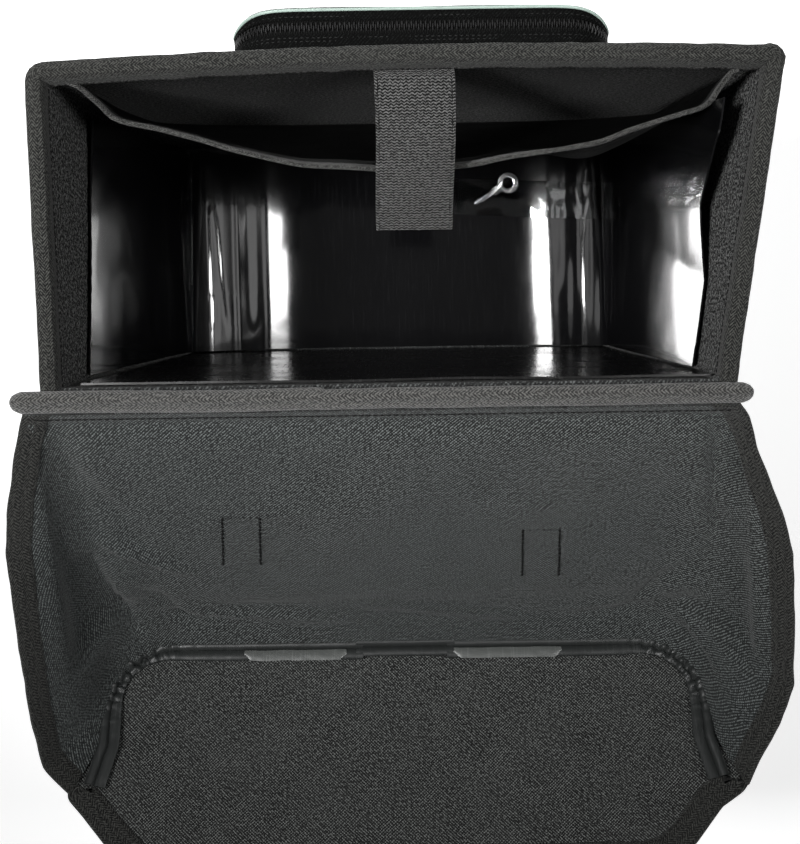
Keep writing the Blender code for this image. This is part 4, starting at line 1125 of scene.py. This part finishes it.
def rim_distance(x, y):
    """Signed distance outside the mouth's outline, and the outward normal."""
    best, bn, inside = 1e9, None, True
    for i in range(4):
        a, b = RIM_P[i], RIM_P[(i + 1) % 4]
        e = b - a
        t = max(0.0, min(1.0, ((x - a[0]) * e[0] + (y - a[1]) * e[1]) / (e @ e)))
        q = np.array([x, y]) - a - t * e
        nn = np.array([e[1], -e[0]]) / np.linalg.norm(e) * -1
        nn = -nn
        if (np.array([x, y]) - a) @ nn > 0:
            inside = False
        dd_ = float(np.linalg.norm(q))
        if dd_ < best:
            best, bn = dd_, nn
    return (-best if inside else best), bn


# outward normals point away from the outline's middle
if rim_distance(0.0, 0.0)[0] > 0:
    RIM_P = RIM_P[::-1].copy()
PUSH = np.zeros_like(HOOD)
for i in range(HOOD.shape[0]):
    for j in range(HOOD.shape[1]):
        rel = HOOD[i, j] - LH
        x, s_, n_ = rel[0], rel @ LT, rel @ LN
        y_, z_ = -8.85 + s_, 32.0 - n_
        if z_ > 32.3 or z_ < 22:
            continue
        d_, nn = rim_distance(x, y_)
        if abs(x) > 15.5 and d_ > -1.2:
            need = 0.78 - d_
            up_need = 32.3 - z_
            if need > 0:
                if up_need < need:
                    PUSH[i, j] = -LN * up_need
                else:
                    PUSH[i, j] = EX * (math.copysign(1, x) * need * abs(nn[0])) + LT * (need * nn[1] * abs(nn[1]))
        elif -1.0 < d_ < 0.8 and z_ < 32.3:
            PUSH[i, j] = -LN * min(0.6, 32.3 - z_)
pm = np.linalg.norm(PUSH, axis=2)
PUSH *= np.minimum(1.0, 1.1 / np.maximum(pm, 1e-6))[..., None]
for _ in range(7):
    pad = np.pad(PUSH, ((1, 1), (1, 1), (0, 0)), mode="edge")
    avg = sum(pad[a:a + PUSH.shape[0], b:b + PUSH.shape[1]] for a in range(3) for b in range(3)) / 9
    big = np.linalg.norm(avg, axis=2) >= 0.92 * np.linalg.norm(PUSH, axis=2)
    PUSH = np.where(big[..., None], avg, 0.6 * PUSH + 0.4 * avg)
PUSH[:, :3] *= np.array([0.0, 0.3, 0.7])[None, :, None]
HOOD = HOOD + PUSH
hu = arc_lengths(HOOD, 0)
HUV = np.stack([hu - hu[NQ // 2], np.repeat(((HOOD[NQ // 2] - LH) @ LT)[None], NQ, 0)], -1) * CM
hood = sheet("hood_panel", HOOD, 0.28, ("lid_in", "outer", "outer"), uvs=HUV, want=tuple(LN), body="lid", repl=("lid_top", "lid_left_wing", "lid_right_wing"), slot="twill")


def flap_half(v, sg):
    if v < 4.05:
        h = 13.6 + math.sqrt(max(0.0, 4.05 ** 2 - (4.05 - v) ** 2))
    else:
        h = float(np.interp(v, (4.05, 6.2, 8.9, 9.3, 10.2, 12.3, 13.3, 13.8), (17.65, 18.1, 19.4, 19.1, 17.75, 16.0, 14.8, 13.3) if sg > 0 else (17.65, 18.1, 19.4, 19.4, 18.55, 16.75, 15.7, 14.3)))
    return h + (0.35 if sg > 0 else -0.1)


NV, NU = 70, 81
vv = np.concatenate([[0.02, 0.1, 0.25, 0.45], np.linspace(0.7, 13.8, NV - 4)])
FP = np.zeros((NU, NV, 3))
for i in range(NU):
    q = -1 + 2 * i / (NU - 1)
    sg = 1 if q >= 0 else -1
    for j, v in enumerate(vv):
        x = q * flap_half(v, sg)
        o = 0.22 + 0.35 * math.sin(math.pi * min(1, v / 13.8)) * (1 - q * q) + 0.14 * nz((x, v, 3), 5.0, 19.0) * min(1, v / 2) + 0.05 * nz((x, v, 3), 1.9, 29.0) * min(1, v / 2)
        FP[i, j] = flapp(x, v, o)
FUV = np.stack([FP[:, :, 0], np.repeat(vv[None], NU, 0)], -1) * CM
flap = sheet("hood_front_flap", FP, 0.28, ("flap_in", "outer", "outer"), uvs=FUV, want=tuple(-FO), body="lid", repl=("lid_flap",), slot="twill")

# glossy tape over the seam: a rolled fin with gathered corners, three lengths with overlaps
out_l = np.array([(-x, v) for x, v in HO[::-1]])
outl = np.vstack([out_l[:-1], HO])
outl = resample(outl, 900)
outl[:, 0] += np.where(outl[:, 0] > 0, 0.35, -0.1) * np.clip(np.abs(outl[:, 0]) / 13, 0, 1)
outl[:, 0] *= 1 - 0.055 * np.clip((outl[:, 1] - 4.2) / 4.6, 0, 1)


def seam_fin(name, x_a, x_b, width, lift, seed, thick=0.12, mat="pvc", lo=None, hi=None):
    arc_ = np.concatenate([[0], np.cumsum(np.linalg.norm(np.diff(outl, axis=0), axis=1))])
    sel = (arc_ >= x_a) & (arc_ <= x_b)
    L5 = outl[sel]
    A5 = arc_[sel]
    n5 = len(L5)
    t5 = np.gradient(L5, axis=0)
    t5 /= np.linalg.norm(t5, axis=1, keepdims=True)
    ins = np.stack([-t5[:, 1], t5[:, 0]], 1)                                 # into the flap
    mid = arc_[-1] / 2
    G = np.zeros((n5, 21, 3))
    for i in range(n5):
        a = A5[i] - mid
        corner = math.exp(-((abs(a) - 17.2) / 3.0) ** 2)
        side_w = max(0.0, min(1.0, (abs(a) - 19.5) / 2.5))
        for j in range(21):
            q = j / 20
            corner = math.exp(-((abs(a) - 17.0) / 2.6) ** 2)
            if q < 0.55:
                ang = math.pi * (q / 0.55)
                a_in = -0.16 + 0.44 * width * (1 - math.cos(ang)) / 2
                hgt_ = 0.18 + (0.30 + lift) * math.sin(ang)
            else:
                e = (q - 0.55) / 0.45
                a_in = -0.16 + 0.44 * width + 0.62 * width * e * (1 - 0.45 * corner)
                hgt_ = 0.18 + 0.09 * math.sin(math.pi * min(1.0, e * 1.1)) + 0.05 * e
            ruch = corner * (0.13 * math.sin(a * 2 * math.pi / 0.78 + 2.2 * nz((a, 0, 0), 0.9, seed)) + 0.20 * nz((a * 1.6, q * 1.3, 0), 0.35, seed + 4)) * math.sin(math.pi * (0.15 + 0.8 * q))
            hgt_ += ruch + 0.03 * nz((a, q * 2, 0), 1.4, seed + 9) + 0.01 * nz((a, q * 3, 0), 0.4, seed + 2)
            a_in += corner * 0.12 * nz((a * 1.3, q, 0), 0.45, seed + 7)
            p = L5[i] + ins[i] * a_in
            G[i, j] = flapp(p[0], p[1], 0.1) - FO * hgt_
    return sheet(name, G, thick, (mat, mat), want=tuple(-FO), body="lid", slot="seam_tape")


TOT = float(np.linalg.norm(np.diff(outl, axis=0), axis=1).sum())
MIDA = TOT / 2
f1 = seam_fin("seam_tape_left", 0.25, MIDA - 2.5, 1.15, 0.0, 1.0)
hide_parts("seam_tape")
seam_fin("seam_tape_right", MIDA + 2.5, TOT - 0.25, 1.15, 0.0, 2.0)
seam_fin("seam_tape_middle", MIDA - 3.0, MIDA + 3.05, 1.0, 0.08, 3.0)

# flat welded lip of the tape along two runs of the fold; its PVC is a lighter copy of the seam tape's, a painted
# highlight for the light its flat strip catches
def seam_lip(name, x0, x1, seed):
    G = np.zeros((90, 7, 3))
    for i in range(90):
        x = x0 + (x1 - x0) * i / 89
        e = min(1.0, min(i, 89 - i) / 6.0)
        for j in range(7):
            q = j / 6
            v = 0.50 + 0.62 * q * (0.55 + 0.45 * e) + 0.03 * nz((x, 0, 0), 1.1, seed)
            G[i, j] = flapp(x + 0.03 * nz((x, q, 0), 0.4, seed), v, 0.1) - FO * (0.36 - 0.10 * q + 0.05 * math.sin(math.pi * q) + 0.02 * nz((x, q * 2, 0), 0.5, seed + 2))
    return sheet(name, G, 0.06, ("pvc_lip_painted_light", "pvc_lip_painted_light"), want=tuple(-FO), body="lid", slot="seam_tape")


seam_lip("seam_lip_left", -9.6, -3.4, 11.0)
seam_lip("seam_lip_right", 3.1, 9.6, 13.0)

# bound free edge of the hood
def edge_tape(name, E, I, up, width=1.5, th=0.42, seed=0.0, wob=0.06, mat="tape2", repl=(), offs=0.5):
    E = resample(E, 150)
    I = resample(I, 150)
    up = resample(np.asarray(up, float), 150)
    sd = I - E
    sd /= np.linalg.norm(sd, axis=1, keepdims=True)
    up = up - sd * (up * sd).sum(1, keepdims=True)
    wvv = np.array([nz(p, 2.3, seed) for p in E])
    path = E + sd * (offs * width * 0.78) + up * (wvv * wob)[:, None]
    path = path + sd * (np.array([nz(p, 1.1, seed + 3) for p in E]) * 0.05)[:, None]
    t_ = np.gradient(path, axis=0)
    t_ /= np.linalg.norm(t_, axis=1, keepdims=True)
    up = np.cross(t_, sd)
    return sweep(name, path, sd, up, rrect(width, th, th * 0.42, 4), mat, body="lid", repl=repl, slot="binding")


nrm_h = normals(HOOD)
edge_tape("hood_tape_left_wing", HOOD[0], HOOD[6], nrm_h[1], seed=2.0, repl=("lid_edge_binding",))
edge_tape("hood_tape_right_wing", HOOD[-1], HOOD[-7], nrm_h[-2], seed=4.0)
j0 = int(np.argmin(np.abs(vv - 8.6)))
E = np.vstack([FP[0, j0:], FP[1:-1, -1], FP[-1, j0:][::-1]])
inn = np.vstack([FP[5, j0:] - FF * 0.5, FP[1:-1, -8], FP[-6, j0:][::-1] - FF * 0.5])
ctrp = flapp(0.2, 7.5, 0.2)
E = resample(E, 240)
sd = np.zeros_like(E)
t_ = np.gradient(E, axis=0)
t_ /= np.linalg.norm(t_, axis=1, keepdims=True)
sd = np.cross(t_, FO)
sd *= np.sign((sd * (ctrp - E)).sum(1, keepdims=True))
for _ in range(6):
    sd[1:-1] = (sd[:-2] + 2 * sd[1:-1] + sd[2:]) / 4
sd /= np.linalg.norm(sd, axis=1, keepdims=True)
path = E + sd * 0.62 - FO * 0.02
path += -FO * (np.array([nz(p, 2.5, 40.0) for p in E]) * 0.05)[:, None]
sweep("hood_tape_flap", path, sd, np.tile(-FO, (len(E), 1)), rrect(1.65, 0.5, 0.2, 4), "tape2", body="lid", slot="binding")

# hinge bar: two overlapping lengths of doubled tape
def hinge_run(name, x0, x1, seed, grow=1.0, repl=()):
    n = 140
    xs = np.linspace(x0, x1, n)
    path = np.array([LH + EX * x + np.array([0, 0.30, 0.22]) + LN * (0.06 * nz((x, 0, 0), 4.0, seed)) + LT * (0.05 * nz((x, 3, 0), 5.0, seed)) for x in xs])
    e = np.minimum(xs - x0, x1 - xs)
    sc = np.clip(0.35 + 0.65 * np.sqrt(np.clip(e / 0.55, 0, 1)), 0, 1) * grow
    return sweep(name, path, LT, LN, rrect(1.12, 0.78, 0.3, 4), "tape", scale=np.stack([sc, sc], 1), body="lid", repl=repl, slot="binding")


hinge_run("hinge_bar_left", -19.65, -3.4, 1.0, 1.04, repl=("hinge_binding",))
hinge_run("hinge_bar_right", -4.6, 17.95, 2.0, 0.97)
stitches("hinge_stitches", np.array([lidp(x, 0.62, 0.19) for x in np.linspace(-18.6, 17.2, 200)]), LN, "lid", mat="thread", length=0.26, gap=0.1, r=0.035)

HW = np.zeros((70, 9, 3))
for i in range(70):
    for j in range(9):
        q = j / 8
        x = -17.3 + 33.6 * i / 69
        HW[i, j] = (x, -8.28 - 0.30 * q - 0.08 * math.sin(math.pi * q), 30.4 + 1.5 * q)
sheet("hinge_cloth", HW, 0.16, ("outer", "outer"), want=(0, 1, 0), body="bag", slot="twill")

# closure webbing on the outside, with its box stitches showing inside the lid
def lid_surface(x, s, off):
    """Point on the hood's mid surface near (x, s), offset along the inside normal."""
    i = int(np.argmin(np.abs(HOOD[:, NR // 2, 0] - x)))
    col = HOOD[i]
    d = np.abs((col - LH) @ LT - s)
    j = int(np.argmin(d))
    p = lidp(x, s, (col[j] - LH) @ LN)
    return p + LN * off


def line_pts(a, b, n=24):
    return [(a[0] + (b[0] - a[0]) * i / (n - 1), a[1] + (b[1] - a[1]) * i / (n - 1)) for i in range(n)]


STX = {"left": (-8.75, 8.6, 13.0, 0.10), "right": (7.8, 10.0, 14.6, -0.045)}
for side, (cx, s0, s1, lean) in STX.items():
    hw = 1.03
    L_ = [(cx - hw + 0.0, s0), (cx - hw - 0.38 if side == "left" else cx - hw + 0.2, s1)]
    R_ = [(cx + hw, s0), (cx + hw - 0.3 if side == "left" else cx + hw + 0.25, s1)]
    for nm, (a, b) in (("a", L_), ("b", R_)):
        pts = np.array([lid_surface(x, s, 0.14) for x, s in line_pts(a, b)])
        stitches("box_stitch_%s_%s" % (side, nm), pts, LN, "lid", length=0.27, gap=0.07, r=0.055, lift=0.02)
    pts = np.array([lid_surface(x, s, 0.14) for x, s in line_pts(L_[0], R_[0])])
    stitches("box_stitch_%s_top" % side, pts, LN, "lid", length=0.2, gap=0.16, r=0.028, lift=0.0)
    # the webbing itself, outside
    xs0 = -8.75 if side == "left" else 7.75
    s_ = np.linspace(s0 - 0.25, 20.75, 60)
    path = np.array([lid_surface(xs0, s, -0.14 - 0.12) for s in s_])
    path = smooth_line(path, 4)
    sweep("lid_webbing_" + side, path, EX, -LN, rrect(2.5, 0.17, 0.06, 2), "web", body="lid", repl=(side + "_lid_strap",), slot="webbing")
    for nm, xo in (("l", -1.0), ("r", 1.0)):
        pp_ = np.array([p + EX * xo - LN * 0.09 for p in path[:18]])
        stitches("web_stitch_%s_%s" % (side, nm), pp_, -LN, "lid", mat="thread_g", length=0.26, gap=0.08, r=0.035)
    # free tail hanging from the ridge
    piv = LH + LT * 21.45 - LN * 0.35
    zt, zb = piv[2] + 0.05, piv[2] - 12.6
    zz = np.linspace(zt, zb, 70)
    path = np.array([(xs0 + 0.12 * math.sin((zt - z) / 9), piv[1] + 0.10 * math.sin((zt - z) * 0.55), z) for z in zz])
    sweep("strap_tail_webbing_" + side, path, EX, (0, 1, 0), rrect(2.5, 0.17, 0.06, 2), "web", body=side + "_strap", repl=(side + "_strap_tail",), slot="webbing")
    refine(side + "_buckle_male", "buckle_male_" + side, "plastic", side + "_strap", width=0.1, seg=3)
    # webbing and female half on the front wall
    zz = np.linspace(12.45, 14.85, 16)
    path = np.array([(xs0, 7.2 + 1.15 * (z - 0.5) / 30.9 + 0.42 + 0.05 * math.sin(z * 3), z) for z in zz])
    sweep("clip_webbing_" + side, path, EX, (0, 1, 0), rrect(2.5, 0.3, 0.1, 2), "web", body="bag", repl=(side + "_clip_web",), slot="webbing")
    cyb = 7.2 + 1.15 * (12.4 - 0.5) / 30.9 + 0.25 + 0.65
    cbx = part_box(side + "_clip")
    cbx = np.array([list(v) for v in cbx]) / CM if np.abs(np.array([list(v) for v in cbx])).max() < 2 else np.array([list(v) for v in cbx])
    cyb = float((cbx[0][1] + cbx[1][1]) / 2)
    refine(side + "_clip", "buckle_female_" + side, "plastic", side + "_buckle", width=0.07, seg=3,
           cuts=[((xs0 + 1.5, cyb, 10.75), (0.7, 0.44, 1.7)), ((xs0 - 1.5, cyb, 10.75), (0.7, 0.44, 1.7)), ((xs0, cyb + 0.42, 12.3), (1.3, 0.4, 0.5)),
                 ((xs0, cyb + 0.42, 8.62), (2.3, 0.4, 0.26))])
    fy = cyb + 0.5
    ringp = []
    for cx_, cz_, a0 in ((0.85, 10.5, 0), (-0.85, 10.5, 90), (-0.85, 9.6, 180), (0.85, 9.6, 270)):
        for i in range(7):
            a_ = math.radians(a0 + 15 * i)
            ringp.append((xs0 + cx_ + 0.3 * math.cos(a_), fy, cz_ + 0.3 * math.sin(a_)))
    ringp = np.array(ringp)
    gr = np.roll(ringp, -1, 0) - np.roll(ringp, 1, 0)
    sweep("buckle_frame_" + side, ringp, np.stack([gr[:, 2], np.zeros(len(gr)), -gr[:, 0]], 1), (0, 1, 0), rrect(0.12, 0.12, 0.05, 2), "plastic", closed=True, body=side + "_buckle", slot="plastic")
    for kz in (9.78, 10.05, 10.32):
        pr_ = np.array([(xs0 + q, fy, kz) for q in np.linspace(-0.7, 0.7, 9)])
        sweep("buckle_rib_%s_%d" % (side, int(kz * 100)), pr_, (0, 0, 1), (0, 1, 0), rrect(0.11, 0.1, 0.045, 2), "plastic", body=side + "_buckle", slot="plastic")

# =====================================================================
# rack hardware
# =====================================================================
for node, mat, body, wd in (("hook_rail", "alloy", "bag", 0.09), ("left_hook", "plastic", "bag", 0.14), ("right_hook", "plastic", "bag", 0.14),
                            ("left_latch", "plastic", "left_latch_lever", 0.05), ("right_latch", "plastic", "right_latch_lever", 0.05),
                            ("left_latch_pin", "steel", "bag", 0.03), ("right_latch_pin", "steel", "bag", 0.03), ("lock_housing", "plastic", "bag", 0.12),
                            ("lock_barrel", "steel", "barrel", 0.05), ("lower_rail", "alloy", "bag", 0.08), ("lower_hook", "plastic", "lower_hook_slide_body", 0.12)):
    refine(node, node + "_finished", mat, body, width=wd, seg=3, angle=28)


def screw(name, node, c, r, h, body="bag"):
    """Domed button head with a hexagon socket, axis -Y."""
    n = 36
    prof = [(r * 1.0, 0.0), (r * 1.0, h * 0.25), (r * 0.93, h * 0.6), (r * 0.75, h * 0.88), (r * 0.55, h), (r * 0.5, h), (r * 0.47, h * 0.96)]
    verts, faces = [], []
    for rr, hh in prof:
        for i in range(n):
            a = 2 * math.pi * i / n
            verts.append((c[0] + rr * math.cos(a), c[1] - hh, c[2] + rr * math.sin(a)))
    for hh in (h * 0.9, h * 0.3):
        for i in range(n):
            a = 2 * math.pi * i / n
            k = math.cos(math.pi / 6) / math.cos((a % (math.pi / 3)) - math.pi / 6)
            rr = r * 0.42 * k
            verts.append((c[0] + rr * math.cos(a), c[1] - hh, c[2] + rr * math.sin(a)))
    lv = len(prof) + 2
    for l in range(lv - 1):
        for i in range(n):
            k = (i + 1) % n
            faces.append((l * n + i, l * n + k, (l + 1) * n + k, (l + 1) * n + i))
    faces.append(tuple(range(n - 1, -1, -1)))
    faces.append(tuple((lv - 1) * n + i for i in range(n)))
    make(name, verts, faces, None, "steel", body=body, repl=(node,), slot="steel", sharp=40)


for i, x in enumerate((-12.1, -4.6, 4.6, 12.1), 1):
    screw("rail_screw_head_%d" % i, "rail_screw_%d" % i, (x, -8.98, 26.9), 0.42, 0.23)
for i, x in enumerate((-6.5, 6.5), 1):
    screw("lower_screw_head_%d" % i, "lower_screw_%d" % i, (x, -8.93, 6.0), 0.35, 0.17)

# =====================================================================
# stage, camera, light
# =====================================================================
me = bpy.data.meshes.new("floor")
me.from_pydata([(-6, -6, 0), (6, -6, 0), (6, 6, 0), (-6, 6, 0)], [], [(0, 1, 2, 3)])
floor = bpy.data.objects.new("floor", me)
bpy.context.scene.collection.objects.link(floor)
fm = bpy.data.materials.new("floor")
fm.use_nodes = True
fb = fm.node_tree.nodes["Principled BSDF"]
fb.inputs["Base Color"].default_value = (0.93, 0.93, 0.93, 1)
fb.inputs["Roughness"].default_value = 0.9
fb.inputs["Specular IOR Level"].default_value = 0.1
fb.inputs["Emission Color"].default_value = (1, 1, 1, 1)
fb.inputs["Emission Strength"].default_value = 0.66
me.materials.append(fm)

F_PX, PITCH, YAW, ROLL = 1499.0, math.radians(95.8), math.radians(1.69), math.radians(0.83)
CPOS = Vector((0.003, -0.021, 1.078))
d = Vector((math.sin(YAW) * math.cos(PITCH), math.cos(YAW) * math.cos(PITCH), -math.sin(PITCH)))
r = Vector((math.cos(YAW), -math.sin(YAW), 0.0))
u = r.cross(d)
r2 = r * math.cos(ROLL) + u * math.sin(ROLL)
u2 = u * math.cos(ROLL) - r * math.sin(ROLL)
cam_d = bpy.data.cameras.new("camera")
cam_d.sensor_width = 36.0
cam_d.lens = F_PX * 36.0 / 844.0
cam = bpy.data.objects.new("camera", cam_d)
bpy.context.scene.collection.objects.link(cam)
cam.matrix_world = Matrix(((r2.x, u2.x, -d.x, CPOS.x), (r2.y, u2.y, -d.y, CPOS.y), (r2.z, u2.z, -d.z, CPOS.z), (0, 0, 0, 1)))
bpy.context.scene.camera = cam


def softbox(name, loc, target, size, power, spread=180.0, color=(1, 1, 1)):
    ld = bpy.data.lights.new(name, "AREA")
    ld.shape = "RECTANGLE"
    ld.size, ld.size_y = size
    ld.energy = power
    ld.spread = math.radians(spread)
    ld.color = color
    ob = bpy.data.objects.new(name, ld)
    bpy.context.scene.collection.objects.link(ob)
    ob.location = loc
    ob.rotation_euler = (Vector(target) - Vector(loc)).to_track_quat("-Z", "Y").to_euler()
    return ob


KEY_L, KEY_R = 2.1, 0.76
softbox("key_left", (-0.66, 0.03, 1.55), (0, 0.07, 0.25), (0.32, 0.34), KEY_L, 50.0)
softbox("key_right", (0.66, 0.03, 1.55), (0, 0.07, 0.25), (0.32, 0.34), KEY_R, 50.0)
softbox("side_left", (-1.18, 0.05, 1.5), (0, 0.0, 0.1), (0.6, 0.22), 0.42)
softbox("side_right", (1.18, 0.05, 1.5), (0, 0.0, 0.1), (0.6, 0.22), 0.7)
softbox("front_fill", (0.0, -2.2, 1.2), (0, -0.1, 0.2), (2.0, 0.8), 3.0)
softbox("back_fill", (0.0, 2.2, 1.0), (0, 0.1, 0.2), (2.0, 0.8), 6.0)
w = bpy.data.worlds.new("world")
bpy.context.scene.world = w
w.use_nodes = True
w.node_tree.nodes["Background"].inputs[0].default_value = (1, 1, 1, 1)
w.node_tree.nodes["Background"].inputs[1].default_value = 0.07
bpy.context.scene.view_settings.view_transform = "Standard"
